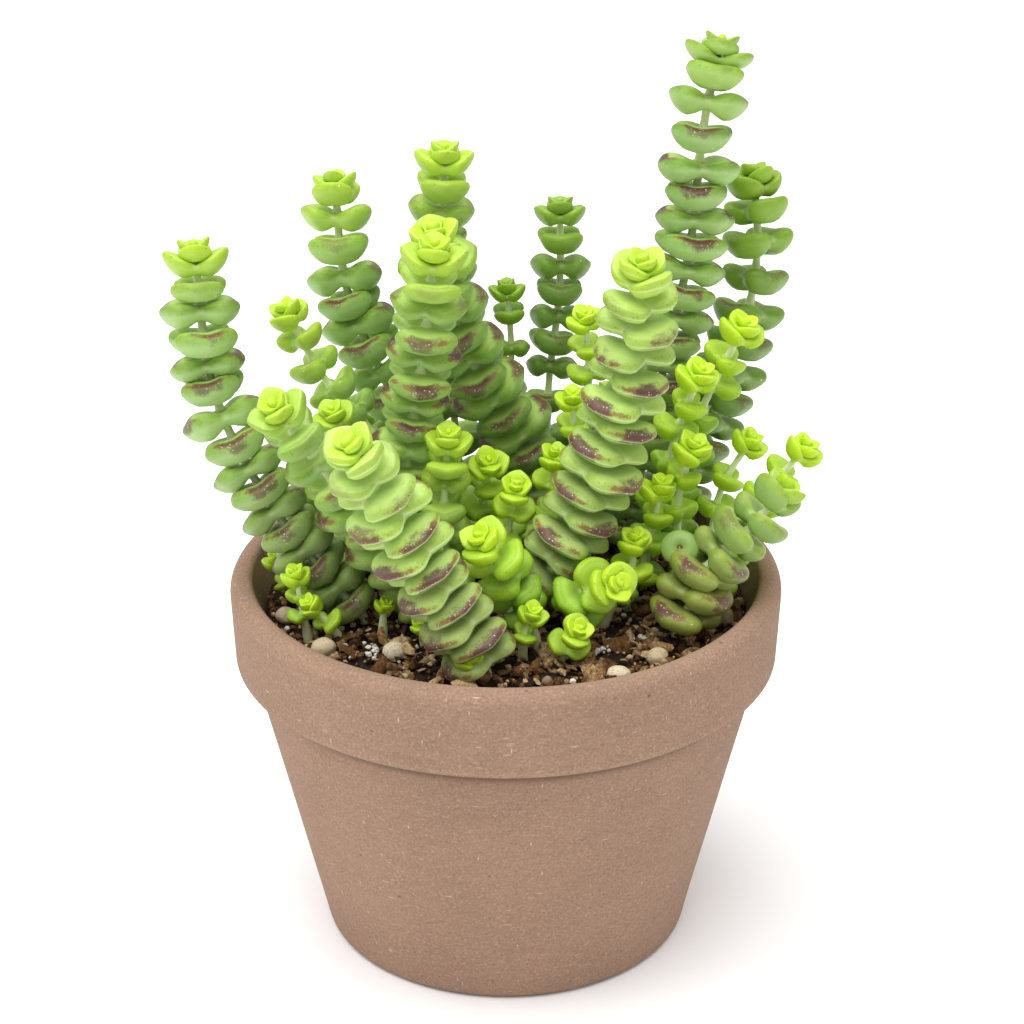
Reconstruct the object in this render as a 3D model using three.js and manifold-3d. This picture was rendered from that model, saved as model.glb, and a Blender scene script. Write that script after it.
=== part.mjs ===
// A potted baby necklace crassula: a clay pot of potting mix with a thicket of leafy succulent stems.
// Units are millimetres, +Z is up, and the origin is the centre of the pot's base on the floor.
// The front is -Y. A stem's leaves come in pairs fused round it, each pair crosswise to the next.
import * as THREE from "three";
import { mergeVertices } from "three/addons/utils/BufferGeometryUtils.js";
import Module from "manifold-3d";

const wasm = await Module();
wasm.setup();

// Pot
const POT_HEIGHT = 71;
const RIM_RADIUS = 50;
const RIM_FOOT_RADIUS = 49.4;
const RIM_DEPTH = 16.2;
const RIM_STEP = 2.8;
const RIM_EDGE_ROUND = 0.8;
const LIP_ROUND = 2.8;
const LIP_INNER_ROUND = 1.2;
const WALL = 4.2;
const BASE_RADIUS = 34;
const BASE_ROUND = 2.2;
const FLOOR_THICKNESS = 6;
const DRAIN_RADIUS = 3.5;
const DRAIN_REACH = 16;
const DRAIN_ANGLES = [90, 210, 330];
const DRAIN_SIDES = 8;
const POT_SIDES = 40;
const CLEARANCE = 0.3;

// Potting mix
const SOIL_LEVEL = 63.8;
const TABLE_LEVEL = 65.2;
const SOIL_RELIEF = 1;
const SOIL_RINGS = 8;
const SOIL_SIDES = 32;
const COARSE_LUMPS = { x: 0.83, startX: 1.3, y: 0.71, startY: -0.4, share: 0.4 };
const FINE_LUMPS = { x: 1.7, y: -1.3, start: 2.1, share: 0.24 };
const SOIL_CROWN = { reach: 44, share: 0.5 };
const HOLE_RADIUS = 1.9;
const HOLE_SIDES = 6;
const HOLE_HEADROOM = 4;
const ROOT_DEPTH = 5;
const PEBBLE_WEAR = 0.14;
const PEBBLE_DETAIL = 1;
const SAME_POINT = 1e-5;
const CHANCE_WAVE = { a: 12.9898, b: 78.233, height: 43758.5453 };

// A pair's ring of eight places, at the size of a pair 15 mm across. Places 0 and 4 are the leaf tips,
// 2 and 6 the notches where the two leaves meet: angle, reach, and height of edge and belly.
const FULL_REACH = 7.5;
const RING_ANGLES = [0, 52, 90, 128, 180, 232, 270, 308];
const OUTLINE = [1, 0.93, 0.66, 0.93, 1, 0.93, 0.66, 0.93];
const EDGE_RISE = [1.0, 1.7, 0.7, 1.7, 1.0, 1.7, 0.7, 1.7];
const BELLY_DROP = [1.6, 1.0, 0.7, 1.0, 1.6, 1.0, 0.7, 1.0];
const BELLY_REACH = 0.64;
const LEAF_PLACES = [7, 0, 1];
const NOTCHES = [2, 6];

// Stems
const STEM_RADIUS = 1.1;
const STEM_TAPER = 0.45;
const BELLY_NECK = 1.3;
const EDGE_NECK = 1.6;
const PAIR_FOOT = -1.8;
const PAIR_TOP = 0.8;
const LOWEST_PAIR = 3.4;
const BARE_ANGLES = [0, 90, 180, 270];
const BARE_STEP = 8;
const CLOSE_GAP = 3.2;
const BELLY_LEAST = 5;
const CURVE_STEPS = 16;
const LINE_STEP = 1;

// The three youngest pairs of every stem stand closer, smaller and more upright
const CROWN_DEPTHS = [0.1, 0.2, 0.33];
const PAIR_SIZES = [0.36, 0.64, 0.86, 0.95, 1];
const PAIR_LIFTS = [1, 0.6, 0.32, 0.14, 0.05, 0];
const UPRIGHT = 0.75;
const TURN_PLAY = 9;
const SIZE_PLAY = 0.05;

// Leaves that meet another stem, the wall or the mix stay smaller
const ROOM_STEP = 0.04;
const LEAST_ROOM = 0.24;
const BARE_ROOM = 0.5;
const LEAF_GAP = 0.35;
const CROWDED = 24;

// Each stem: the points its axis passes from the soil to its tip, the first on the soil, with heights
// that count from a mix level of TABLE_LEVEL,
// the span of its widest pair, the gaps from its first full pair down (the last one repeats),
// and the turn of its first full pair about the stem, in degrees from the X axis.
const STEMS = [
  {
    name: "stem_right_tall",
    path: [[22, 17], [26, 18, 88], [29, 18, 105], [33, 19, 126], [35, 19, 150], [38, 20, 166]],
    span: 15, gaps: [2.8, 4.6, 6, 6.2, 4.8, 4.8, 4.8, 4.8, 4.8, 4.6, 4.4, 4.4, 4.4, 5], turn: 0,
  },
  {
    name: "stem_right_back",
    path: [[29, 26], [34, 27, 80], [41, 28, 97], [46, 29, 119], [45, 30, 139]],
    span: 14, gaps: [4.3, 5.5, 7.2, 6.8, 6, 6, 5, 5], turn: 40,
  },
  {
    name: "stem_centre_right",
    path: [[0, -7], [3, -8, 70], [9, -10, 78], [17, -11, 98], [22, -12, 119], [23, -16, 138]],
    span: 15.5, gaps: [4.4, 4.6, 5, 4.8, 4.8, 4.6, 4.6, 4.6], turn: 130,
  },
  {
    name: "stem_centre",
    path: [[-18, 2], [-18, 0, 90], [-15, -1, 110], [-12, -5, 137]],
    span: 14.5, gaps: [4.6, 4, 5, 4.4, 5, 4.4, 4.6, 4.6, 5], turn: 0,
  },
  {
    name: "stem_centre_back",
    path: [[-8, 35], [-10, 33, 90], [-12, 32, 120], [-11, 30, 143]],
    span: 13.5, gaps: [4.2, 4.8, 6, 5.4, 7], turn: 5,
  },
  {
    name: "stem_centre_leaning",
    path: [[10, 26], [4, 25, 85], [-5, 20, 102], [-11, 16, 119], [-13, 12, 134]],
    span: 15.5, gaps: [4.4, 4.4, 4.8, 4.8, 5, 5], turn: 100,
  },
  {
    name: "stem_left_centre",
    path: [[-13, 24], [-20, 25, 92], [-29, 25, 116], [-31, 26, 139]],
    span: 14, gaps: [4.2, 5.4, 5.6, 5, 4.6, 4.8, 5.6], turn: 80,
  },
  {
    name: "stem_far_left",
    path: [[-25, -8], [-31, -8, 73], [-42, -6, 88], [-51, -3, 107], [-54, 0, 135]],
    span: 14.5, gaps: [4.4, 3.4, 5.4, 4.6, 4, 5.6, 5.4, 5, 4.4, 4.4], turn: 8,
  },
  {
    name: "stem_left_second",
    path: [[-13, -10], [-18, -11, 75], [-25, -13, 88], [-35, -15, 103], [-40, -19, 113]],
    span: 14, gaps: [5, 6.4, 5.6, 5, 4.6], turn: 15,
  },
  {
    name: "stem_front_left",
    path: [[-3, -29], [-6, -30, 73], [-13, -32, 86], [-20, -34, 100], [-26, -40, 115]],
    span: 15.5, gaps: [4.2, 4.6, 4.4, 4.4, 4.2, 4.2, 4], turn: 130,
  },
  {
    name: "stem_left_small",
    path: [[-20, 14], [-24, 14, 92], [-33, 13, 104], [-40, 12, 119]],
    span: 10.5, gaps: [4.4, 5.6, 6, 5.8, 7], turn: 60,
  },
  {
    name: "stem_background",
    path: [[8, 37], [8, 37, 92], [10, 38, 111], [10, 38, 130]],
    span: 11.5, gaps: [4.6, 5, 4.8, 5, 5, 5, 7], turn: 0,
  },
  {
    name: "stem_background_small",
    path: [[-1, 35], [1, 35, 100], [0, 34, 115]],
    span: 8.5, gaps: [4, 7, 8], turn: 0,
  },
  {
    name: "stem_shoot_high",
    path: [[31, 9], [34, 9, 95], [43, 7, 118]],
    span: 11.5, gaps: [5.6, 5, 7.5], turn: 30,
  },
  {
    name: "stem_shoot_upper",
    path: [[25, 5], [30, 5, 94], [35, 2, 111]],
    span: 11.5, gaps: [5, 5, 7.5], turn: 20,
  },
  {
    name: "stem_shoot_mid",
    path: [[32, -2], [31, -1, 88], [34, -3, 99]],
    span: 11, gaps: [5, 7], turn: 50,
  },
  {
    name: "stem_shoot_inner",
    path: [[22, -3], [26, -3, 80], [28, -4, 92]],
    span: 10.5, gaps: [4.6, 6], turn: 10,
  },
  {
    name: "stem_shoot_low",
    path: [[17, -10], [22, -11, 76], [23, -12, 85]],
    span: 9, gaps: [5], turn: 60,
  },
  {
    name: "stem_right_leaning",
    path: [[30, -16], [32, -16, 71], [35, -15, 79], [43, -14, 87], [50, -12, 95]],
    span: 14.5, gaps: [4.4, 4.4, 4.6, 4.4, 4.2], turn: 45,
  },
  {
    name: "stem_right_branch",
    path: [[36, -6], [41, -5, 82], [48, -4, 91], [54, -4, 99]],
    span: 10, gaps: [5, 6], turn: 20,
  },
  {
    name: "stem_right_thin",
    path: [[37, 6], [39, 6, 85], [45, 6, 96]],
    span: 9.5, gaps: [7, 6], turn: 10,
  },
  {
    name: "stem_front_bright",
    path: [[6, -18], [2, -19, 76], [-5, -25, 91]],
    span: 12.5, gaps: [4.2, 4.4], turn: 60,
  },
  {
    name: "stem_front_low",
    path: [[3, -22], [3, -24, 70], [5, -26, 77]],
    span: 7.5, gaps: [4], turn: 0,
  },
  {
    name: "stem_front_right_low",
    path: [[10, -24], [11, -26, 70], [13, -29, 75]],
    span: 9, gaps: [4], turn: 90,
  },
  {
    name: "stem_front_right_side",
    path: [[11, -14], [13, -17, 75], [20, -26, 82]],
    span: 12, gaps: [4.4], turn: 40,
  },
  {
    name: "stem_middle_upper",
    path: [[15, 15], [15, 13, 105], [14, 11, 118]],
    span: 9, gaps: [5, 5, 8], turn: 30,
  },
  {
    name: "stem_middle_inner",
    path: [[9, 9], [12, 7, 92], [12, 5, 105]],
    span: 8.5, gaps: [5, 7], turn: 0,
  },
  {
    name: "stem_middle_bright",
    path: [[4, 4], [8, 2, 86], [9, 0, 96]],
    span: 9, gaps: [5, 6], turn: 70,
  },
  {
    name: "stem_middle_left",
    path: [[-6, 8], [-4, 4, 84], [-3, -2, 95]],
    span: 10, gaps: [4.8, 6], turn: 20,
  },
  {
    name: "stem_middle_front",
    path: [[-3, 0], [1, -4, 84], [2, -8, 93]],
    span: 9.5, gaps: [4.6, 6], turn: 80,
  },
  {
    name: "stem_middle_column",
    path: [[-10, -3], [-11, -5, 86], [-10, -8, 103]],
    span: 11, gaps: [3.6, 3.6, 5.4], turn: 0,
  },
  {
    name: "stem_left_hidden",
    path: [[-28, 5], [-29, 3, 92], [-31, 0, 104]],
    span: 10, gaps: [5, 6.5], turn: 30,
  },
  {
    name: "stem_offset_wall",
    path: [[-38, 1], [-41, 0, 71], [-42, 0, 75]],
    span: 6.5, gaps: [4], turn: 0,
  },
  {
    name: "stem_offset_left",
    path: [[-35, -15], [-36, -16, 72], [-37, -16, 80]],
    span: 7.5, gaps: [3.6], turn: 30,
  },
  {
    name: "stem_offset_front",
    path: [[-29, -15], [-32, -17, 70], [-35, -19, 75]],
    span: 8, gaps: [4], turn: 60,
  },
  {
    name: "stem_offset_small",
    path: [[-22, -14], [-22, -14, 69], [-21, -15, 73]],
    span: 6, gaps: [4], turn: 20,
  },
  {
    name: "stem_offset_tiny",
    path: [[-14, -18], [-15, -18, 68], [-15, -19, 71]],
    span: 5.5, gaps: [4], turn: 70,
  },
  {
    name: "stem_offset_rim",
    path: [[-36, 15], [-39, 16, 72], [-42, 17, 78]],
    span: 8, gaps: [4], turn: 10,
  },
  {
    name: "stem_back_right",
    path: [[20, 33], [21, 34, 80], [20, 36, 94]],
    span: 13, gaps: [4.8], turn: 20,
  },
  {
    name: "stem_back_left",
    path: [[-23, 30], [-26, 33, 78], [-28, 36, 90]],
    span: 13, gaps: [4.8], turn: 70,
  },
  {
    name: "stem_back_wall",
    path: [[-32, 21], [-36, 24, 72], [-39, 26, 82]],
    span: 10, gaps: [4.4], turn: 0,
  },
];

// Pebbles lying in the mix: place of the centre, with its height against TABLE_LEVEL, half sizes and
// turn in degrees
const PEBBLES = [
  { name: "pebble_left", at: [-39.5, -8, 66.4], half: [2.1, 1.9, 1.7], turn: 20 },
  { name: "pebble_front_left", at: [-32, -21, 66.6], half: [2.5, 2.1, 1.9], turn: 50 },
  { name: "pebble_front", at: [-19.5, -22.5, 66.6], half: [2.4, 2.1, 1.9], turn: 0 },
  { name: "pebble_front_right", at: [19.5, -30.5, 66.4], half: [2.3, 1.8, 1.5], turn: 10 },
  { name: "pebble_right", at: [26.5, -24, 66.5], half: [2.2, 1.7, 1.6], turn: 35 },
  { name: "pebble_far_right", at: [39.2, -8.5, 66.5], half: [2.3, 2, 1.8], turn: 80 },
];

const MATERIALS = {
  clay: { color: 0xa98c78, roughness: 0.9, metalness: 0 },
  soil: { color: 0x3d2a1e, roughness: 1, metalness: 0 },
  stone: { color: 0xd8c6a2, roughness: 0.85, metalness: 0 },
  leaf: { color: 0x84ad52, roughness: 0.5, metalness: 0 },
};

function material(kind) {
  return new THREE.MeshStandardMaterial(MATERIALS[kind]);
}

// A repeatable number from 0 to 1 for the seeds a and b
function chance(a, b) {
  const wave = Math.sin(a * CHANCE_WAVE.a + b * CHANCE_WAVE.b) * CHANCE_WAVE.height;
  return wave - Math.floor(wave);
}

function radians(degrees) {
  return (degrees * Math.PI) / 180;
}

function solidOf(geometry) {
  const bare = geometry.clone();
  bare.deleteAttribute("normal");
  bare.deleteAttribute("uv");
  const merged = mergeVertices(bare, SAME_POINT);
  const vertProperties = new Float32Array(merged.attributes.position.array);
  const triVerts = new Uint32Array(merged.index.array);
  return new wasm.Manifold(new wasm.Mesh({ numProp: 3, vertProperties, triVerts }));
}

function geometryOf(solid) {
  const mesh = solid.getMesh();
  const geometry = new THREE.BufferGeometry();
  geometry.setAttribute("position", new THREE.BufferAttribute(new Float32Array(mesh.vertProperties), 3));
  geometry.setIndex(new THREE.BufferAttribute(new Uint32Array(mesh.triVerts), 1));
  geometry.computeVertexNormals();
  return geometry;
}

// Points of an arc in the profile plane, from one angle to another in degrees
function arc(radius, height, bend, from, to, steps) {
  const points = [];
  for (let i = 0; i <= steps; i += 1) {
    const angle = radians(from + ((to - from) * i) / steps);
    points.push(new THREE.Vector2(radius + bend * Math.cos(angle), height + bend * Math.sin(angle)));
  }
  return points;
}

// Brings a place from one of the tables to the level that the mix stands at
function fromTable([x, y, z]) {
  return [x, y, z - TABLE_LEVEL + SOIL_LEVEL];
}

// The inner wall's radius at a height
function innerRadius(height) {
  const top = RIM_RADIUS - WALL;
  const foot = BASE_RADIUS - WALL;
  return foot + ((top - foot) * (height - FLOOR_THICKNESS)) / (POT_HEIGHT - FLOOR_THICKNESS);
}

// A plain upright hole, from a height up
function holeAt(x, y, floor, height, radius, sides) {
  const hole = new THREE.CylinderGeometry(radius, radius, height, sides);
  hole.rotateX(Math.PI / 2);
  hole.translate(x, y, floor + height / 2);
  return solidOf(hole);
}

// The pot: turned clay with drain holes, a straight tapered wall and a deep rim with a round lip
function potGeometry() {
  const rimFoot = POT_HEIGHT - RIM_DEPTH;
  const bodyTop = RIM_FOOT_RADIUS - RIM_STEP;
  const profile = [
    new THREE.Vector2(0, 0),
    ...arc(BASE_RADIUS - BASE_ROUND, BASE_ROUND, BASE_ROUND, -90, -10, 2),
    new THREE.Vector2(bodyTop, rimFoot),
    ...arc(RIM_FOOT_RADIUS - RIM_EDGE_ROUND, rimFoot + RIM_EDGE_ROUND, RIM_EDGE_ROUND, -90, 0, 1),
    ...arc(RIM_RADIUS - LIP_ROUND, POT_HEIGHT - LIP_ROUND, LIP_ROUND, 0, 90, 4),
    ...arc(RIM_RADIUS - WALL + LIP_INNER_ROUND, POT_HEIGHT - LIP_INNER_ROUND, LIP_INNER_ROUND, 90, 180, 1),
    new THREE.Vector2(innerRadius(FLOOR_THICKNESS), FLOOR_THICKNESS),
    new THREE.Vector2(0, FLOOR_THICKNESS),
  ];
  let pot = solidOf(new THREE.LatheGeometry(profile, POT_SIDES).rotateX(Math.PI / 2));
  for (const angle of DRAIN_ANGLES) {
    const x = DRAIN_REACH * Math.cos(radians(angle));
    const y = DRAIN_REACH * Math.sin(radians(angle));
    pot = pot.subtract(holeAt(x, y, -CLEARANCE, FLOOR_THICKNESS + 2 * CLEARANCE, DRAIN_RADIUS, DRAIN_SIDES));
  }
  return geometryOf(pot);
}

// How high the mix stands at a place: lumps on a low crown
function soilHeight(x, y) {
  const acrossX = Math.sin(x * COARSE_LUMPS.x + COARSE_LUMPS.startX);
  const acrossY = Math.cos(y * COARSE_LUMPS.y + COARSE_LUMPS.startY);
  const coarse = COARSE_LUMPS.share * acrossX * acrossY;
  const fine = FINE_LUMPS.share * Math.sin(x * FINE_LUMPS.x + y * FINE_LUMPS.y + FINE_LUMPS.start);
  const crown = SOIL_CROWN.share * (1 - (x * x + y * y) / SOIL_CROWN.reach ** 2);
  return SOIL_LEVEL + SOIL_RELIEF * (coarse + fine + crown);
}

// The mix: a plug that fills the pot, with a lumpy top, before its holes are made
function soilPlug() {
  const positions = [0, 0, soilHeight(0, 0)];
  const index = [];
  const levels = [];
  for (let ring = 1; ring <= SOIL_RINGS; ring += 1) {
    levels.push({ reach: ((innerRadius(SOIL_LEVEL) - CLEARANCE) * ring) / SOIL_RINGS, floor: false });
  }
  levels.push({ reach: innerRadius(FLOOR_THICKNESS) - CLEARANCE, floor: true });
  for (const { reach, floor } of levels) {
    for (let side = 0; side < SOIL_SIDES; side += 1) {
      const angle = (side / SOIL_SIDES) * 2 * Math.PI;
      const x = reach * Math.cos(angle);
      const y = reach * Math.sin(angle);
      positions.push(x, y, floor ? FLOOR_THICKNESS + CLEARANCE : soilHeight(x, y));
    }
  }
  const last = positions.length / 3;
  positions.push(0, 0, FLOOR_THICKNESS + CLEARANCE);
  const place = (level, side) => 1 + level * SOIL_SIDES + (side % SOIL_SIDES);
  for (let side = 0; side < SOIL_SIDES; side += 1) {
    index.push(0, place(0, side), place(0, side + 1));
    for (let level = 0; level < levels.length - 1; level += 1) {
      index.push(place(level, side), place(level + 1, side), place(level + 1, side + 1));
      index.push(place(level, side), place(level + 1, side + 1), place(level, side + 1));
    }
    index.push(last, place(levels.length - 1, side + 1), place(levels.length - 1, side));
  }
  return meshGeometry(positions, index);
}

function meshGeometry(positions, index) {
  const geometry = new THREE.BufferGeometry();
  geometry.setAttribute("position", new THREE.Float32BufferAttribute(positions, 3));
  geometry.setIndex(index);
  geometry.computeVertexNormals();
  return geometry;
}

// A pebble with flat worn sides; spare makes the socket it lies in a little larger
function pebbleGeometry(pebble, seed, spare) {
  const geometry = new THREE.IcosahedronGeometry(1, PEBBLE_DETAIL);
  geometry.deleteAttribute("normal");
  geometry.deleteAttribute("uv");
  const round = mergeVertices(geometry, SAME_POINT);
  const position = round.attributes.position;
  for (let i = 0; i < position.count; i += 1) {
    const worn = 1 - PEBBLE_WEAR * chance(seed, i);
    position.setXYZ(
      i,
      position.getX(i) * worn * (pebble.half[0] + spare),
      position.getY(i) * worn * (pebble.half[1] + spare),
      position.getZ(i) * worn * (pebble.half[2] + spare),
    );
  }
  round.rotateZ(radians(pebble.turn));
  round.translate(...fromTable(pebble.at));
  round.computeVertexNormals();
  return round;
}

// A plain hole for a stem, from its root up through the surface
function rootHole(stem) {
  const [x, y] = stem.path[0];
  const depth = ROOT_DEPTH + CLEARANCE;
  return holeAt(x, y, SOIL_LEVEL - depth, depth + HOLE_HEADROOM, HOLE_RADIUS, HOLE_SIDES);
}

function soilGeometry() {
  let soil = solidOf(soilPlug());
  for (const stem of STEMS) {
    soil = soil.subtract(rootHole(stem));
  }
  PEBBLES.forEach((pebble, i) => {
    soil = soil.subtract(solidOf(pebbleGeometry(pebble, i, CLEARANCE)));
  });
  return geometryOf(soil);
}

// A stem axis as points one step apart, from the root in the mix to the tip
function axisOf(stem) {
  const [x, y] = stem.path[0];
  const guides = [[x, y, SOIL_LEVEL - ROOT_DEPTH], [x, y, SOIL_LEVEL], ...stem.path.slice(1).map(fromTable)];
  const curve = new THREE.CatmullRomCurve3(guides.map((point) => new THREE.Vector3(...point)));
  const fine = curve.getPoints((guides.length - 1) * CURVE_STEPS);
  const along = [0];
  for (let i = 1; i < fine.length; i += 1) {
    along.push(along[i - 1] + fine[i].distanceTo(fine[i - 1]));
  }
  const length = along[along.length - 1];
  const pointAt = (s) => {
    const place = Math.min(Math.max(s, 0), length);
    let i = 1;
    while (i < fine.length - 1 && along[i] < place) {
      i += 1;
    }
    const share = (place - along[i - 1]) / (along[i] - along[i - 1]);
    return fine[i - 1].clone().lerp(fine[i], share);
  };
  const steps = Math.ceil(length / LINE_STEP);
  const line = Array.from({ length: steps + 1 }, (_, i) => pointAt((length * i) / steps));
  return { length, pointAt, line };
}

// The stem direction at a place, and two directions across it, turned as little as can be from X and Y
function frameAt(axis, s) {
  const up = axis.pointAt(s + 1).sub(axis.pointAt(s - 1)).normalize();
  const tilt = 1 / (1 + up.z);
  const across = new THREE.Vector3(1 - up.x * up.x * tilt, -up.x * up.y * tilt, -up.x);
  const along = new THREE.Vector3(-up.x * up.y * tilt, 1 - up.y * up.y * tilt, -up.y);
  return { centre: axis.pointAt(s), up, across, along };
}

function placed(frame, angle, reach, rise) {
  return frame.centre
    .clone()
    .addScaledVector(frame.across, reach * Math.cos(angle))
    .addScaledVector(frame.along, reach * Math.sin(angle))
    .addScaledVector(frame.up, rise);
}

// The leaf pairs of a stem from its tip down, each with its size, lift and turn
function pairsOf(stem, seed) {
  const axis = axisOf(stem);
  const soil = ROOT_DEPTH + LOWEST_PAIR;
  const pairs = [];
  let s = axis.length - CROWN_DEPTHS[0] * stem.span;
  for (let k = 0; s > soil; k += 1) {
    const play = k < CROWN_DEPTHS.length ? 0 : 2 * chance(seed, k) - 1;
    const size = PAIR_SIZES[Math.min(k, PAIR_SIZES.length - 1)] * (1 + SIZE_PLAY * play);
    pairs.push({
      reach: (size * stem.span) / 2,
      lift: PAIR_LIFTS[Math.min(k, PAIR_LIFTS.length - 1)],
      step: k,
      turn: radians(stem.turn + 90 * k + TURN_PLAY * play),
      s,
      frame: frameAt(axis, s),
    });
    const below = k + 1 - CROWN_DEPTHS.length;
    s = below < 0
      ? axis.length - CROWN_DEPTHS[k + 1] * stem.span
      : s - stem.gaps[Math.min(below, stem.gaps.length - 1)];
  }
  return { stem, axis, pairs };
}

// Ring places are counted alike up a whole stem, so this finds the one on the pair's own leaves
function ownPlace(pair, place) {
  const count = RING_ANGLES.length;
  return (((place - NOTCHES[0] * pair.step) % count) + count) % count;
}

// The point of a pair at one of its ring places: on its edge, or on its belly under the leaf
function pairPoint(pair, place, room, belly) {
  const i = ownPlace(pair, place);
  const angle = pair.turn + radians(RING_ANGLES[i]);
  const scale = pair.reach / FULL_REACH;
  const outline = OUTLINE[i] * pair.reach * room;
  const least = STEM_RADIUS * scale;
  if (belly) {
    const reach = Math.max(outline * BELLY_REACH, least * BELLY_NECK);
    return placed(pair.frame, angle, reach, -BELLY_DROP[i] * scale);
  }
  const rise = EDGE_RISE[i] * scale + pair.lift * outline * UPRIGHT;
  return placed(pair.frame, angle, Math.max(outline, least * EDGE_NECK), rise * room);
}

function nearest(line, point) {
  return Math.sqrt(line.reduce((least, other) => Math.min(least, other.distanceToSquared(point)), Infinity));
}

// Whether a point keeps clear of the wall and the mix, and is nearer its own stem than any other
function isClear(point, own, others) {
  const out = Math.hypot(point.x, point.y);
  if (point.z < SOIL_LEVEL + SOIL_RELIEF + LEAF_GAP) {
    return false;
  }
  if (point.z < POT_HEIGHT + LEAF_GAP && out > innerRadius(point.z) - LEAF_GAP) {
    return false;
  }
  const mine = nearest(own.axis.line, point) + LEAF_GAP;
  return others.every(
    (other) => (nearest(other.axis.line, point) - LEAF_GAP) * own.stem.span > mine * other.stem.span,
  );
}

// How large each leaf of a pair can grow in the room that the stems around it leave
function roomOf(pair, side, own, others) {
  const first = (side * RING_ANGLES.length) / 2 + NOTCHES[0] * pair.step;
  const places = LEAF_PLACES.map((place) => place + first);
  let room = 1;
  while (room > LEAST_ROOM) {
    const points = places.flatMap((place) => [
      pairPoint(pair, place, room, false),
      pairPoint(pair, place, room, true),
    ]);
    if (points.every((point) => isClear(point, own, others))) {
      return room;
    }
    room -= ROOM_STEP;
  }
  return LEAST_ROOM;
}

function growRoom(all) {
  for (const own of all) {
    for (const pair of own.pairs) {
      const isNear = (other) => nearest(other.axis.line, pair.frame.centre) < CROWDED;
      const others = all.filter((other) => other !== own && isNear(other));
      pair.rooms = [0, 1].map((side) => roomOf(pair, side, own, others));
    }
  }
}

// The room at a ring place: its own leaf's, or the smaller one in the notch where the two leaves meet
function leafRoom(pair, place) {
  const i = ownPlace(pair, place);
  if (NOTCHES.includes(i)) {
    return Math.min(...pair.rooms);
  }
  return LEAF_PLACES.includes(i) ? pair.rooms[0] : pair.rooms[1];
}

// Triangles between two rings, each of eight points round a leaf pair or four round the bare stem
function bridge(index, low, high) {
  const reach = Math.max(low.size, high.size);
  const place = (ring, side) => ring.start + (side % ring.size);
  for (let side = 0; side < reach / 2; side += 1) {
    if (low.size === high.size) {
      for (const step of [side * 2, side * 2 + 1]) {
        index.push(place(low, step), place(low, step + 1), place(high, step + 1));
        index.push(place(low, step), place(high, step + 1), place(high, step));
      }
    } else if (low.size < high.size) {
      index.push(place(low, side), place(high, side * 2 + 1), place(high, side * 2));
      index.push(place(low, side), place(low, side + 1), place(high, side * 2 + 1));
      index.push(place(low, side + 1), place(high, side * 2 + 2), place(high, side * 2 + 1));
    } else {
      index.push(place(low, side * 2), place(low, side * 2 + 1), place(high, side));
      index.push(place(low, side * 2 + 1), place(high, side + 1), place(high, side));
      index.push(place(low, side * 2 + 1), place(low, side * 2 + 2), place(high, side + 1));
    }
  }
}

// One closed surface: rings round the axis from the root to the bud at the tip
function stemGeometry({ axis, pairs }) {
  const positions = [];
  const rings = [];
  const addRing = (points) => {
    rings.push({ start: positions.length / 3, size: points.length });
    points.forEach((point) => positions.push(...point.toArray()));
  };
  const addBare = (s, reach) => {
    const frame = frameAt(axis, s);
    addRing(BARE_ANGLES.map((angle) => placed(frame, pairs[0].turn + radians(angle), reach, 0)));
  };
  const addEdge = (pair, belly) => {
    addRing(RING_ANGLES.map((_, place) => pairPoint(pair, place, leafRoom(pair, place), belly)));
  };
  addBare(0, STEM_RADIUS);
  addBare(ROOT_DEPTH, STEM_RADIUS);
  const inCrown = (pair) => pair.step < CROWN_DEPTHS.length;
  const climb = pairs.filter((pair) => inCrown(pair) || Math.max(...pair.rooms) > BARE_ROOM);
  let top = ROOT_DEPTH;
  climb.reverse().forEach((pair) => {
    const scale = pair.reach / FULL_REACH;
    const reach = STEM_RADIUS * Math.min(1, STEM_TAPER + scale * (1 - STEM_TAPER));
    const foot = pair.s + PAIR_FOOT * scale;
    if (top > ROOT_DEPTH && foot - top < CLOSE_GAP) {
      addBare((foot + top) / 2, reach);
    } else {
      if (top > ROOT_DEPTH) {
        addBare(top, reach);
      }
      const bends = Math.floor((foot - top) / BARE_STEP);
      for (let bend = 1; bend <= bends; bend += 1) {
        addBare(top + ((foot - top) * bend) / (bends + 1), reach);
      }
      addBare(foot, reach);
    }
    if (pair.reach > BELLY_LEAST) {
      addEdge(pair, true);
    }
    addEdge(pair, false);
    top = pair.s + PAIR_TOP * scale;
  });
  const root = positions.length / 3;
  positions.push(...axis.pointAt(0).toArray());
  positions.push(...axis.pointAt(top).toArray());
  const index = [];
  const first = rings[0];
  const last = rings[rings.length - 1];
  for (let side = 0; side < first.size; side += 1) {
    index.push(root, first.start + ((side + 1) % first.size), first.start + side);
  }
  for (let side = 0; side < last.size; side += 1) {
    index.push(root + 1, last.start + side, last.start + ((side + 1) % last.size));
  }
  rings.slice(1).forEach((ring, i) => bridge(index, rings[i], ring));
  return meshGeometry(positions, index);
}

function named(name, geometry, kind) {
  const mesh = new THREE.Mesh(geometry, material(kind));
  mesh.name = name;
  return mesh;
}

const plant = new THREE.Group();
plant.add(named("pot", potGeometry(), "clay"));
plant.add(named("soil", soilGeometry(), "soil"));
PEBBLES.forEach((pebble, i) => {
  plant.add(named(pebble.name, pebbleGeometry(pebble, i, 0), "stone"));
});
const grown = STEMS.map(pairsOf);
growRoom(grown);
for (const growth of grown) {
  plant.add(named(growth.stem.name, stemGeometry(growth), "leaf"));
}

export default plant;
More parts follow.
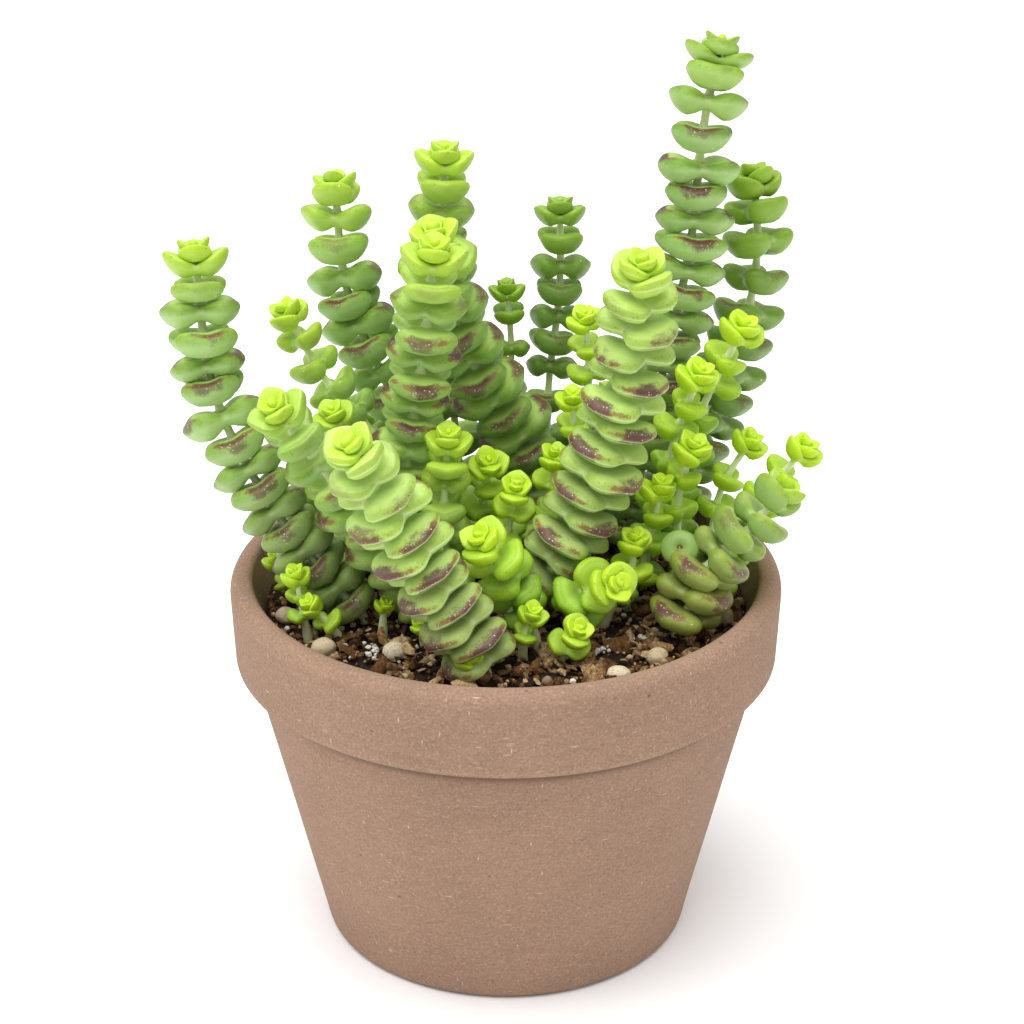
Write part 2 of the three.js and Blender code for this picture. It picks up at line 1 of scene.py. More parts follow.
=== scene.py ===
"""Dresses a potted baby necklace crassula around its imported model.

The pot, the potting mix, each pebble and each leafy stem get a finer piece in the place of the plain one.
Loose crumbs on the mix, a side bud and a fallen leaf are added. Sizes are in millimetres and turned into
metres as each mesh is finished. The front is -Y and Z is up.
"""

from __future__ import annotations

import logging
import math
import random
from collections.abc import Iterable, Sequence
from dataclasses import dataclass, field
from enum import Enum
from functools import reduce

import bmesh
import bpy
import numpy as np
from mathutils import Matrix, Vector, noise


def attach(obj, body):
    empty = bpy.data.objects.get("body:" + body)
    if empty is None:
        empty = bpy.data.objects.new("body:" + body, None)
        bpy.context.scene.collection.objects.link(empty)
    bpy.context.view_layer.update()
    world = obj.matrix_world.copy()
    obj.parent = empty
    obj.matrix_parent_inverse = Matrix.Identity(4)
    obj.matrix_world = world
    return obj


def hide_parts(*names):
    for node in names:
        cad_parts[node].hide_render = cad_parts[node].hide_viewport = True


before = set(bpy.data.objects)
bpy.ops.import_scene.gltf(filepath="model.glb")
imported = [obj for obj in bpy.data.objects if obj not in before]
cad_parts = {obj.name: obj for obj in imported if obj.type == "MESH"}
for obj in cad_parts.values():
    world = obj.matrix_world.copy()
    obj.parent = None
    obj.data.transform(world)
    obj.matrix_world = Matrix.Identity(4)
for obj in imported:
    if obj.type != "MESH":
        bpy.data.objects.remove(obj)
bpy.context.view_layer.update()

log = logging.getLogger("crassula")

MM = 0.001
BODY = "root"

Socket = bpy.types.NodeSocket
Value = float | Socket
Colour = tuple[float, float, float, float] | Socket
Point = tuple[float, float, float]
# Where a smooth step starts and where it ends
Span = tuple[float, float]
# Where a smooth hump starts, peaks and ends
Hump = tuple[float, float, float]
# A value at a share of 0 and at a share of 1, such as a plump leaf's and a plated leaf's
Range = tuple[float, float]


def paint(code: str) -> tuple[float, float, float, float]:
    """Turns a paint code such as "a98c78" into a linear colour.

    Args:
        code: Red, green and blue as two hexadecimal digits each.

    Returns:
        The colour that shader sockets take, with full alpha.
    """

    def linear(share: float) -> float:
        """Undoes the display curve for one channel."""
        return share / 12.92 if share <= 0.04045 else ((share + 0.055) / 1.055) ** 2.4

    red, green, blue = (linear(int(code[i : i + 2], 16) / 255) for i in (0, 2, 4))
    return (red, green, blue, 1.0)


def chance(a: float, b: float) -> float:
    """Gives a repeatable number from 0 to 1 for the seeds a and b."""
    wave = math.sin(a * 12.9898 + b * 78.233) * 43758.5453
    return wave - math.floor(wave)


def mix(low: float, high: float, share: float) -> float:
    """Gives the value a share of the way from low to high."""
    return low + (high - low) * share


class Growth(Enum):
    """How a stem has grown, which sets the finish of its leaves. SHADED paints shade: it is a darker copy of
    the grown finish for the stems at the back.
    """

    GROWN = "leaf_grown"
    # A darker copy of the grown finish for the stems at the back: painted shade
    SHADED = "leaf_shaded"
    BRIGHT = "leaf_bright"
    WEATHERED = "leaf_weathered"


@dataclass(frozen=True)
class Ripple:
    """A noise: its waves per millimetre, how many finer layers it has and how strong they are."""

    scale: float
    detail: float
    roughness: float = 0.55


@dataclass(frozen=True)
class Dots:
    """Small specks: how many to a millimetre, their largest radius as a share of their spacing, and
    how many of them show.
    """

    scale: float
    size: float
    share: float


@dataclass(frozen=True)
class Cloud:
    """A drift of lighter and darker colour: its waves per millimetre and its strength."""

    scale: float
    amount: float


class Graph:
    """Adds nodes to one shader tree and wires them together."""

    def __init__(self, tree: bpy.types.NodeTree) -> None:
        """Starts on a tree.

        Args:
            tree: The node tree of a material or a node group.
        """
        self.tree = tree

    def node(
        self, kind: str, wires: dict[str | int, object] | None = None, **settings: object
    ) -> bpy.types.Node:
        """Adds a node.

        Args:
            kind: Blender's name of the node type.
            wires: A number, a colour or another node's socket for each input that isn't left alone.
            **settings: Properties of the node, such as its operation.

        Returns:
            The new node.
        """
        made = self.tree.nodes.new(kind)
        for name, setting in settings.items():
            setattr(made, name, setting)
        for name, value in (wires or {}).items():
            self.wire(made.inputs[name], value)
        return made

    def wire(self, socket: Socket, value: object) -> None:
        """Links a socket to an input, or sets the input's own value.

        Args:
            socket: The input.
            value: A socket, or the value that the input takes.
        """
        if isinstance(value, Socket):
            self.tree.links.new(value, socket)
        else:
            socket.default_value = value

    def math(self, operation: str, a: Value, b: Value, clamp: bool = False) -> Socket:
        """Adds a Math node and gives its result."""
        made = self.node("ShaderNodeMath", {0: a, 1: b}, operation=operation, use_clamp=clamp)
        return made.outputs[0]

    def plus(self, *values: Value) -> Value:
        """Adds values up."""
        return reduce(lambda a, b: self.math("ADD", a, b), values)

    def capped(self, a: Value, b: Value) -> Socket:
        """Adds two values and stops at 1."""
        return self.math("ADD", a, b, clamp=True)

    def minus(self, a: Value, b: Value) -> Socket:
        """Takes b from a."""
        return self.math("SUBTRACT", a, b)

    def times(self, *values: Value) -> Value:
        """Multiplies values."""
        return reduce(lambda a, b: self.math("MULTIPLY", a, b), values)

    def between(self, low: float, high: float, share: Socket) -> Socket:
        """Gives the value a share of the way from low to high."""
        return self.plus(low, self.times(share, high - low))

    def swing(self, noise: Socket, reach: Value) -> Socket:
        """Makes a noise from 0 to 1 swing round 0, by half the reach each way."""
        return self.times(self.minus(noise, 0.5), reach)

    def step(self, value: Value, low: Value, high: Value) -> Socket:
        """Gives a smooth step from 0 at low to 1 at high."""
        wires = {"Value": value, "From Min": low, "From Max": high}
        return self.node("ShaderNodeMapRange", wires, interpolation_type="SMOOTHSTEP").outputs["Result"]

    def bell(self, value: Value, low: float, middle: float, high: float) -> Socket:
        """Gives a smooth hump that is 0 at low and high, and 1 at the middle."""
        return self.times(self.step(value, low, middle), self.step(value, high, middle))

    def blend(self, low: Colour, high: Colour, share: Value) -> Socket:
        """Mixes two colours.

        Args:
            low: The colour where the share is 0.
            high: The colour where the share is 1.
            share: How much of the second colour shows.

        Returns:
            The mixed colour.
        """
        made = self.node("ShaderNodeMix", data_type="RGBA", clamp_factor=True)
        # The node has inputs and an output for each type of data, and those for colours go by number
        self.wire(made.inputs["Factor"], share)
        self.wire(made.inputs[6], low)
        self.wire(made.inputs[7], high)
        return made.outputs[2]

    def tint(self, ground: Colour, code: str, *shares: Value) -> Socket:
        """Lays a paint over a colour, by the product of some shares.

        Args:
            ground: The colour below.
            code: The paint code.
            *shares: Masks and strengths from 0 to 1.

        Returns:
            The tinted colour.
        """
        return self.blend(ground, paint(code), self.times(*shares))

    def attribute(self, name: str) -> list[Socket]:
        """Reads a mesh attribute of three numbers.

        Args:
            name: The attribute's name.

        Returns:
            Its three numbers.
        """
        read = self.node("ShaderNodeAttribute", attribute_name=name)
        parts = self.node("ShaderNodeSeparateXYZ", {"Vector": read.outputs["Vector"]})
        return list(parts.outputs)

    def place(self, stretch: Point = (1, 1, 1)) -> Socket:
        """Gives Object coordinates in millimetres, stretched along the axes."""
        where = self.node("ShaderNodeTexCoord").outputs["Object"]
        scale = tuple(s / MM for s in stretch)
        return self.node("ShaderNodeMapping", {"Vector": where, "Scale": scale}).outputs["Vector"]

    def noise(self, where: Socket, ripple: Ripple) -> Socket:
        """Gives a noise from 0 to 1."""
        wires = {"Scale": ripple.scale, "Detail": ripple.detail, "Roughness": ripple.roughness}
        return self.node("ShaderNodeTexNoise", {"Vector": where, **wires}).outputs["Fac"]

    def bumps(self, shader: bpy.types.Node, height: Socket, strength: float, depth: float) -> None:
        """Wires a relief into a shader's normal.

        Args:
            shader: The Principled node.
            height: The relief's height, as a share of its depth.
            strength: How much of the relief shows.
            depth: How deep it is, in metres.
        """
        bump = self.node("ShaderNodeBump", {"Height": height, "Strength": strength, "Distance": depth})
        self.wire(shader.inputs["Normal"], bump.outputs["Normal"])


@dataclass(frozen=True)
class Port:
    """A named input or output of a node group."""

    name: str
    kind: str = "NodeSocketFloat"


def new_group(
    name: str, takes: Sequence[Port], gives: Port
) -> tuple[Graph, dict[str, Socket], Socket]:
    """Starts a shader node group.

    Args:
        name: The group's name.
        takes: Its inputs.
        gives: Its output.

    Returns:
        A graph on the group's tree, the inputs by name, and the output to wire.
    """
    tree = bpy.data.node_groups.new(name, "ShaderNodeTree")
    for port in takes:
        tree.interface.new_socket(port.name, in_out="INPUT", socket_type=port.kind)
    tree.interface.new_socket(gives.name, in_out="OUTPUT", socket_type=gives.kind)
    graph = Graph(tree)
    into = graph.node("NodeGroupInput")
    out = graph.node("NodeGroupOutput")
    return graph, {port.name: into.outputs[port.name] for port in takes}, out.inputs[gives.name]


def specks_group() -> bpy.types.NodeTree:
    """Builds the effect of small separate specks, such as pores, grit or salt spots.

    Returns:
        A group that gives a mask of specks. Size is the largest radius as a share of their spacing, each
        speck has a quarter of it to all of it, and Share is how many of them show.
    """
    smallest = 0.25
    takes = (Port("Where", "NodeSocketVector"), Port("Scale"), Port("Size"), Port("Share"))
    graph, given, mask = new_group("Specks", takes, Port("Mask"))
    cells = graph.node("ShaderNodeTexVoronoi", {"Vector": given["Where"], "Scale": given["Scale"]})
    lots = graph.node("ShaderNodeSeparateColor", {"Color": cells.outputs["Color"]}).outputs
    reach = graph.times(given["Size"], graph.between(smallest, 1.0, lots["Green"]))
    dots = graph.step(cells.outputs["Distance"], reach, 0.0)
    shown = graph.math("LESS_THAN", lots["Red"], given["Share"])
    graph.wire(mask, graph.times(dots, shown))
    return graph.tree


def mottle_group() -> bpy.types.NodeTree:
    """Builds the effect of a colour that drifts lighter and darker over a surface.

    Returns:
        A group that gives the mottled colour.
    """
    contrast = 4.0
    detail = 5.0
    roughness = 0.6
    takes = (
        Port("Colour", "NodeSocketColor"),
        Port("Where", "NodeSocketVector"),
        Port("Scale"),
        Port("Amount"),
    )
    graph, given, mottled = new_group("Mottle", takes, Port("Colour", "NodeSocketColor"))
    wires = {"Vector": given["Where"], "Scale": given["Scale"], "Detail": detail, "Roughness": roughness}
    drift = graph.node("ShaderNodeTexNoise", wires).outputs["Fac"]
    value = graph.plus(graph.times(graph.swing(drift, given["Amount"]), contrast), 1.0)
    shaded = graph.node("ShaderNodeHueSaturation", {"Color": given["Colour"], "Value": value})
    graph.wire(mottled, shaded.outputs["Color"])
    return graph.tree


@dataclass(frozen=True)
class Effects:
    """The node groups that more than one finish uses."""

    specks: bpy.types.NodeTree
    mottle: bpy.types.NodeTree

    def dots(self, graph: Graph, where: Socket, dots: Dots) -> Socket:
        """Places the specks and gives their mask."""
        wires = {"Where": where, "Scale": dots.scale, "Size": dots.size, "Share": dots.share}
        return graph.node("ShaderNodeGroup", wires, node_tree=self.specks).outputs["Mask"]

    def mottled(self, graph: Graph, colour: Colour, where: Socket, cloud: Cloud) -> Socket:
        """Places the mottle over a colour and gives the result."""
        wires = {"Colour": colour, "Where": where, "Scale": cloud.scale, "Amount": cloud.amount}
        return graph.node("ShaderNodeGroup", wires, node_tree=self.mottle).outputs["Colour"]


def new_material(name: str, gloss: float) -> tuple[bpy.types.Material, Graph, bpy.types.Node]:
    """Starts a material with a Principled shader.

    Args:
        name: The material's name.
        gloss: Its specular level.

    Returns:
        The material, a graph on its tree and its Principled node.
    """
    material = bpy.data.materials.new(name)
    material.use_nodes = True
    shader = material.node_tree.nodes["Principled BSDF"]
    shader.inputs["Specular IOR Level"].default_value = gloss
    return material, Graph(material.node_tree), shader


@dataclass(frozen=True)
class LeafFinish:
    """The skin of the leaves and stems: waxy green with a speckled band that blushes red-brown at the tips.

    Feet, tops, cores, humps and rises are heights on the leaf attribute's side, from -1 on the underside
    through 0 at the rim to 1 on top. A share alone is how strongly a layer shows.
    """

    name: str
    upper: str
    under: str
    band: str
    young: str
    old: str
    aging: float = 0.7

    bloom: str = "c8e282"
    speckle: str = "3f6416"
    blush: str = "57292f"
    rust: str = "7d4a26"
    rim: str = "e0efae"
    bare: str = "dde6b0"
    salt: str = "f2eee0"

    # The noises, and the ages at which leaves are fresh and grow grey
    skin: Ripple = Ripple(1.1, 4.0, 0.6)
    skin_swing: float = 0.1
    waves: Ripple = Ripple(0.22, 2.0)
    wave_swing: float = 0.45
    pores: Ripple = Ripple(3.6, 2.0)
    fresh_age: Span = (0.3, 0.0)
    grey_age: Span = (0.45, 1.0)

    # The ground colour
    bloom_share: float = 0.9
    face_foot: Range = (0.25, -0.75)
    face_top: float = 0.42
    fresh_share: float = 0.92

    # The greener band along the edge and its speckles
    band_foot: Range = (-0.06, -0.21)
    band_core: Span = (0.17, 0.16)
    band_top: Range = (0.5, 0.4)
    band_cover: Span = (0.7, 0.95)
    band_young: float = 0.45
    plated_fade: float = 0.35
    aged_fade: float = 0.6
    band_share: Range = (0.9, 0.2)
    speckles: Dots = Dots(1.7, 0.55, 0.6)
    speckle_share: float = 0.6

    # The rust along the ridge, which starts nearer the stem on a redder leaf
    rust_rise: Range = (-0.06, 0.12)
    rust_hump: Hump = (0.1, 0.22, 0.36)
    rust_start: Range = (1.0, 0.35)
    rust_end: float = 1.05
    patches: Ripple = Ripple(0.45, 2.0)
    patch_span: Span = (0.3, 0.7)
    patch_range: Range = (0.4, 1.4)
    rust_rag: float = 0.7
    rust_span: Span = (0.12, 0.62)
    rust_share: float = 0.82

    # The purple-brown patch at the tip, and the dust of the same colour round it
    tip_slope: Range = (0.6, -0.45)
    tip_shift: Range = (-0.144, 0.056)
    tip_rag: float = 0.16
    tip_foot: Span = (-0.2, -0.05)
    tip_top: Span = (0.44, 0.32)
    tip_span: Span = (0.82, 0.94)
    tip_share: float = 0.88
    dust: Dots = Dots(1.5, 0.55, 0.6)
    dust_reach: Span = (0.4, 0.9)
    dust_foot: Span = (-0.3, 0.0)
    dust_share: float = 0.5

    # The pale rim of plated and of young leaves, the crease between two leaves and the bare stem
    sharp_hump: Hump = (-0.06, 0.0, 0.06)
    sharp_plated: Span = (0.3, 0.9)
    sharp_share: float = 0.5
    round_hump: Hump = (0.2, 0.26, 0.32)
    round_share: float = 0.3
    rim_cover: Span = (0.8, 1.0)
    crease_width: Span = (0.16, 0.0)
    crease_foot: Span = (-0.3, 0.1)
    crease_share: float = 0.3
    leaf_cover: Span = (0.0, 0.35)

    # The salt specks
    crust: Dots = Dots(2.1, 0.5, 0.5)
    crust_age: Span = (0.3, 0.9)
    stray: Dots = Dots(0.8, 0.2, 0.22)
    salt_share: float = 0.9

    # The tone of each pair, and how the skin takes the light
    tones: Range = (0.93, 1.07)
    drift: Cloud = Cloud(0.5, 0.07)
    roughness: Range = (0.444, 0.244)
    skin_relief: float = 0.6
    pore_relief: float = 0.4
    bump: float = 0.35
    depth: float = 0.00012
    gloss: float = 0.45

    def material(self, effects: Effects) -> bpy.types.Material:
        """Builds the leaf material from the mesh's own leaf, growth and form attributes.

        Args:
            effects: The shared node groups.

        Returns:
            The material.
        """
        material, graph, shader = new_material(self.name, self.gloss)
        LeafPainter(self, effects, graph).dress(shader)
        return material


class LeafPainter:
    """Lays the colours of a leaf finish over one another, from the ground colour up to the salt."""

    def __init__(self, finish: LeafFinish, effects: Effects, graph: Graph) -> None:
        """Reads the mesh's attributes and makes the noises and masks that several layers share.

        Args:
            finish: The colours and the places of their layers.
            effects: The shared node groups.
            graph: The material's graph.
        """
        self.finish = finish
        self.effects = effects
        self.graph = graph
        self.where = graph.place()
        self.side, self.cover, self.tip = graph.attribute("leaf")
        self.age, self.luck, self.redness = graph.attribute("growth")
        self.plated, self.youth, _ = graph.attribute("form")
        self.skin = graph.noise(self.where, finish.skin)
        self.pores = graph.noise(self.where, finish.pores)
        self.height = graph.plus(self.side, graph.swing(self.skin, finish.skin_swing))
        waves = graph.noise(self.where, finish.waves)
        self.reach = graph.plus(self.tip, graph.swing(waves, finish.wave_swing))
        self.fresh = graph.step(self.age, *finish.fresh_age)
        self.aged = graph.step(self.age, *finish.grey_age)
        self.line = self.rust_line()
        self.patch = self.tip_patch()
        self.salt = self.salt_mask()
        self.colour = self.ground()

    def by_form(self, values: Range) -> Socket:
        """Gives a value that changes from a plump leaf to a plated one."""
        return self.graph.between(*values, self.plated)

    def dots(self, dots: Dots) -> Socket:
        """Gives a mask of specks."""
        return self.effects.dots(self.graph, self.where, dots)

    def rust_line(self) -> Socket:
        """Gives how rusty a place is, along the ridge of a plump leaf and along the edge of a plated one.

        Returns:
            A value from 0 up to the highest of the patch range.
        """
        graph, finish = self.graph, self.finish
        ridge = graph.plus(self.height, self.by_form(finish.rust_rise))
        start = graph.between(*finish.rust_start, self.redness)
        patch = graph.step(graph.noise(self.where, finish.patches), *finish.patch_span)
        return graph.times(
            graph.bell(ridge, *finish.rust_hump),
            graph.step(self.reach, start, finish.rust_end),
            self.redness,
            graph.between(*finish.patch_range, patch),
        )

    def tip_patch(self) -> Socket:
        """Gives the purple-brown patch at a leaf's tip.

        Returns:
            Its mask.
        """
        graph, finish = self.graph, self.finish
        outward = graph.plus(
            self.reach,
            graph.times(self.height, self.by_form(finish.tip_slope)),
            self.by_form(finish.tip_shift),
            graph.swing(self.pores, finish.tip_rag),
        )
        return graph.times(
            graph.step(self.height, *finish.tip_foot),
            graph.step(self.height, *finish.tip_top),
            graph.step(outward, *finish.tip_span),
            self.redness,
        )

    def salt_mask(self) -> Socket:
        """Gives the salt: close specks on the markings and a few stray ones elsewhere.

        Returns:
            Its mask.
        """
        graph, finish = self.graph, self.finish
        marks = graph.capped(self.patch, graph.times(self.line, graph.step(self.age, *finish.crust_age)))
        crust = graph.times(self.dots(finish.crust), marks)
        return graph.math("MAXIMUM", crust, graph.times(self.dots(finish.stray), self.cover))

    def ground(self) -> Socket:
        """Gives the ground colour, from the underside to the flat upper face.

        Returns:
            The colour below all others.
        """
        graph, finish = self.graph, self.finish
        face = graph.tint(paint(finish.upper), finish.bloom, self.plated, finish.bloom_share)
        on_face = graph.step(self.height, self.by_form(finish.face_foot), finish.face_top)
        return graph.blend(paint(finish.under), face, on_face)

    def lay(self, code: str, *shares: Value) -> None:
        """Lays a paint over the colour so far, by the product of some shares."""
        self.colour = self.graph.tint(self.colour, code, *shares)

    def lay_band(self) -> None:
        """Lays the greener band along the edge, which fades with age, and its darker speckles."""
        graph, finish = self.graph, self.finish
        low_core, high_core = finish.band_core
        band = graph.times(
            graph.step(self.height, self.by_form(finish.band_foot), low_core),
            graph.step(self.height, self.by_form(finish.band_top), high_core),
            graph.step(self.cover, *finish.band_cover),
        )
        young = graph.math("MAXIMUM", graph.times(self.plated, finish.band_young), self.fresh)
        lush = graph.tint(paint(finish.band), finish.young, young)
        aged = graph.times(self.aged, finish.aged_fade * finish.aging)
        faded = graph.capped(graph.times(self.plated, finish.plated_fade), aged)
        shown = graph.times(band, graph.between(*finish.band_share, faded))
        self.colour = graph.blend(self.colour, lush, shown)
        self.lay(finish.speckle, self.dots(finish.speckles), band, finish.speckle_share)

    def lay_markings(self) -> None:
        """Lays the rust, the patch at the tip and the dust round it."""
        graph, finish = self.graph, self.finish
        ragged = graph.plus(self.line, graph.swing(self.pores, finish.rust_rag))
        self.lay(finish.rust, graph.step(ragged, *finish.rust_span), finish.rust_share)
        self.lay(finish.blush, self.patch, finish.tip_share)
        near = graph.step(self.reach, *finish.dust_reach)
        above = graph.step(self.height, *finish.dust_foot)
        dusty = graph.times(self.dots(finish.dust), self.aged, self.redness, near, above)
        self.lay(finish.blush, dusty, finish.dust_share)

    def lay_rim(self) -> None:
        """Lays the pale rim and the pale crease where two leaves meet, and bares the stem."""
        graph, finish = self.graph, self.finish
        plated = graph.step(self.plated, *finish.sharp_plated)
        sharp = graph.times(graph.bell(self.side, *finish.sharp_hump), plated, finish.sharp_share)
        rounded = graph.times(graph.bell(self.side, *finish.round_hump), self.youth, finish.round_share)
        self.lay(finish.rim, graph.capped(sharp, rounded), graph.step(self.cover, *finish.rim_cover))
        inner = graph.step(self.tip, *finish.crease_width)
        upper = graph.step(self.side, *finish.crease_foot)
        self.lay(finish.rim, inner, upper, self.cover, finish.crease_share)
        leafy = graph.step(self.cover, *finish.leaf_cover)
        self.colour = graph.blend(paint(finish.bare), self.colour, leafy)

    def dress(self, shader: bpy.types.Node) -> None:
        """Lays every colour and wires it, its roughness and its relief into a shader.

        Args:
            shader: The Principled node.
        """
        graph, finish = self.graph, self.finish
        self.lay(finish.old, self.aged, finish.aging)
        self.lay(finish.young, self.fresh, finish.fresh_share)
        self.lay_band()
        self.lay_markings()
        self.lay_rim()
        self.lay(finish.salt, self.salt, finish.salt_share)
        toned = {"Color": self.colour, "Value": graph.between(*finish.tones, self.luck)}
        toned_colour = graph.node("ShaderNodeHueSaturation", toned).outputs["Color"]
        mottled = self.effects.mottled(graph, toned_colour, self.where, finish.drift)
        graph.wire(shader.inputs["Base Color"], mottled)
        graph.wire(shader.inputs["Roughness"], graph.between(*finish.roughness, self.salt))
        fine = graph.times(self.skin, finish.skin_relief)
        relief = graph.plus(fine, graph.times(self.pores, finish.pore_relief))
        graph.bumps(shader, relief, finish.bump, finish.depth)


@dataclass(frozen=True)
class ClayFinish:
    """Dry turned clay: matte grey-brown with fine grain, pinholes and short pale scratches.

    Painted shade, as a dark line and a darker band, lies under the foot of the pot's rim, and wear with a
    painted highlight along the rim's lower edge; their places are in millimetres above the foot.
    """

    rim_foot: float
    name: str = "clay"
    body: str = "967965"
    pale: str = "c2a893"
    # The dark of the grain and the pits, also used for the painted shade under the rim
    pit_and_shade: str = "5c4436"
    scratch: str = "d2bca8"

    cloud: Cloud = Cloud(0.05, 0.08)
    rings: Cloud = Cloud(0.12, 0.06)
    ring_stretch: Point = (1, 1, 5)
    grain: Ripple = Ripple(2.0, 5.0, 0.75)
    pale_grain: Span = (0.5, 0.68)
    dark_grain: Span = (0.47, 0.33)
    grain_share: float = 0.42
    large_pits: Dots = Dots(0.3, 0.17, 0.4)
    small_pits: Dots = Dots(0.9, 0.26, 0.3)
    small_share: float = 0.6
    pit_share: float = 0.8
    scratches: Dots = Dots(0.62, 0.22, 0.36)
    scratch_stretches: tuple[Point, ...] = ((0.3, 0.3, 2.4), (1.6, 1.6, 0.35))
    scratch_share: float = 0.85

    # A painted shade line just under the foot of the rim
    shade_line: Hump = (-3.4, -1.0, 0.4)
    shade_line_share: float = 0.9
    shade: Span = (-7.0, 0.0)
    shade_share: float = 0.22
    # Paler clay along the rim's lower edge, partly wear and partly a painted highlight
    wear_highlight: Hump = (0.3, 0.8, 1.6)
    wear_highlight_grain: Span = (0.35, 0.6)
    wear_highlight_share: float = 0.15

    roughness: Range = (0.78, 0.96)
    grain_relief: float = 0.8
    pit_relief: float = 1.5
    ring_ripple: Ripple = Ripple(0.5, 3.0)
    ring_relief: float = 0.5
    bump: float = 0.4
    depth: float = 0.0002
    gloss: float = 0.25

    def material(self, effects: Effects) -> bpy.types.Material:
        """Builds the clay material.

        Args:
            effects: The shared node groups.

        Returns:
            The material.
        """
        material, graph, shader = new_material(self.name, self.gloss)
        where = graph.place()
        turned = graph.place(self.ring_stretch)
        grain = graph.noise(where, self.grain)
        small = graph.times(effects.dots(graph, where, self.small_pits), self.small_share)
        pits = graph.math("MAXIMUM", effects.dots(graph, where, self.large_pits), small)

        clay = effects.mottled(graph, paint(self.body), where, self.cloud)
        clay = effects.mottled(graph, clay, turned, self.rings)
        clay = graph.tint(clay, self.pale, graph.step(grain, *self.pale_grain), self.grain_share)
        clay = graph.tint(clay, self.pit_and_shade, graph.step(grain, *self.dark_grain), self.grain_share)
        clay = graph.tint(clay, self.pit_and_shade, pits, self.pit_share)
        for stretch in self.scratch_stretches:
            scratch = effects.dots(graph, graph.place(stretch), self.scratches)
            clay = graph.tint(clay, self.scratch, scratch, self.scratch_share)
        graph.wire(shader.inputs["Base Color"], self.weathered(graph, clay, where, grain))

        graph.wire(shader.inputs["Roughness"], graph.between(*self.roughness, grain))
        fine = graph.minus(graph.times(grain, self.grain_relief), graph.times(pits, self.pit_relief))
        rings = graph.times(graph.noise(turned, self.ring_ripple), self.ring_relief)
        graph.bumps(shader, graph.plus(fine, rings), self.bump, self.depth)
        return material

    def weathered(self, graph: Graph, clay: Socket, where: Socket, grain: Socket) -> Socket:
        """Adds painted shade in the corner under the rim, and wear with a painted highlight along the rim's
        lower edge.

        Args:
            graph: The material's graph.
            clay: The colour below.
            where: The place in millimetres.
            grain: The clay's grain.

        Returns:
            The weathered colour.
        """
        height = graph.node("ShaderNodeSeparateXYZ", {"Vector": where}).outputs["Z"]
        above = graph.minus(height, self.rim_foot)
        # Painted shade: a dark line just under the rim's foot
        clay = graph.tint(clay, self.pit_and_shade, graph.bell(above, *self.shade_line), self.shade_line_share)
        below = graph.math("LESS_THAN", above, 0.0)
        clay = graph.tint(clay, self.pit_and_shade, graph.step(above, *self.shade), below, self.shade_share)
        # Wear and a painted highlight along the rim's lower edge, broken up by the grain
        coarse = graph.step(grain, *self.wear_highlight_grain)
        return graph.tint(clay, self.pale, graph.bell(above, *self.wear_highlight), coarse, self.wear_highlight_share)


@dataclass(frozen=True)
class GrainFinish:
    """Loose grains, bark or stone: each grain has a tone of its own, with pits and lighter flecks."""

    name: str
    dark: str
    middle: str
    light: str
    depth: float = 0.0004
    fleck_share: float = 0.3

    rough: Ripple = Ripple(1.6, 6.0, 0.72)
    rough_swing: float = 1.3
    dark_span: Span = (0.1, 0.55)
    light_span: Span = (0.55, 1.0)
    fleck_scale: float = 1.5
    fleck_size: float = 0.35
    fleck_strength: float = 0.6
    pits: Ripple = Ripple(2.6, 3.0)
    pit_span: Span = (0.45, 0.3)
    pit_share: float = 0.6
    drift: Cloud = Cloud(0.3, 0.12)
    roughness: Range = (0.8, 0.9)
    bump: float = 0.8
    gloss: float = 0.3

    def material(self, effects: Effects) -> bpy.types.Material:
        """Builds the grain material from the mesh's own grain attribute.

        Args:
            effects: The shared node groups.

        Returns:
            The material.
        """
        material, graph, shader = new_material(self.name, self.gloss)
        where = graph.place()
        tone, luck, _ = graph.attribute("grain")
        rough = graph.noise(where, self.rough)
        share = graph.plus(tone, graph.swing(rough, self.rough_swing))
        colour = graph.tint(paint(self.dark), self.middle, graph.step(share, *self.dark_span))
        colour = graph.tint(colour, self.light, graph.step(share, *self.light_span))
        flecks = Dots(self.fleck_scale, self.fleck_size, self.fleck_share)
        colour = graph.tint(colour, self.light, effects.dots(graph, where, flecks), self.fleck_strength)
        pits = graph.step(graph.noise(where, self.pits), *self.pit_span)
        colour = graph.tint(colour, self.dark, pits, self.pit_share)
        colour = effects.mottled(graph, colour, where, self.drift)
        graph.wire(shader.inputs["Base Color"], colour)
        graph.wire(shader.inputs["Roughness"], graph.between(*self.roughness, luck))
        graph.bumps(shader, rough, self.bump, self.depth)
        return material


def finish_mesh(
    name: str, shape: bmesh.types.BMesh, material: bpy.types.Material, smooth: bool = True
) -> bpy.types.Object:
    """Turns a shape in millimetres into an object in metres at the origin.

    Args:
        name: The object's name.
        shape: The shape, which is freed.
        material: Its finish.
        smooth: Whether its faces are shaded smooth.

    Returns:
        The object, linked to the scene.
    """
    bmesh.ops.transform(shape, matrix=Matrix.Scale(MM, 4), verts=shape.verts)
    for face in shape.faces:
        face.smooth = smooth
    mesh = bpy.data.meshes.new(name)
    shape.to_mesh(mesh)
    shape.free()
    mesh.materials.append(material)
    made = bpy.data.objects.new(name, mesh)
    bpy.context.scene.collection.objects.link(made)
    return made


def seat(piece: bpy.types.Object, slot: str, *nodes: str) -> bpy.types.Object:
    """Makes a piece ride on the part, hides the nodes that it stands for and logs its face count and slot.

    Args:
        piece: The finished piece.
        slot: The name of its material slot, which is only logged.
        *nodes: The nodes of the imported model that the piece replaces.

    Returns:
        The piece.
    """
    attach(piece, BODY)
    if nodes:
        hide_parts(*nodes)
    log.info("%s: %d faces in %s", piece.name, len(piece.data.polygons), slot)
    return piece


def soften(piece: bpy.types.Object) -> None:
    """Adds a Subdivision Surface of one level, in view and in render."""
    smoother = piece.modifiers.new("soft", "SUBSURF")
    smoother.levels = 1
    smoother.render_levels = 1


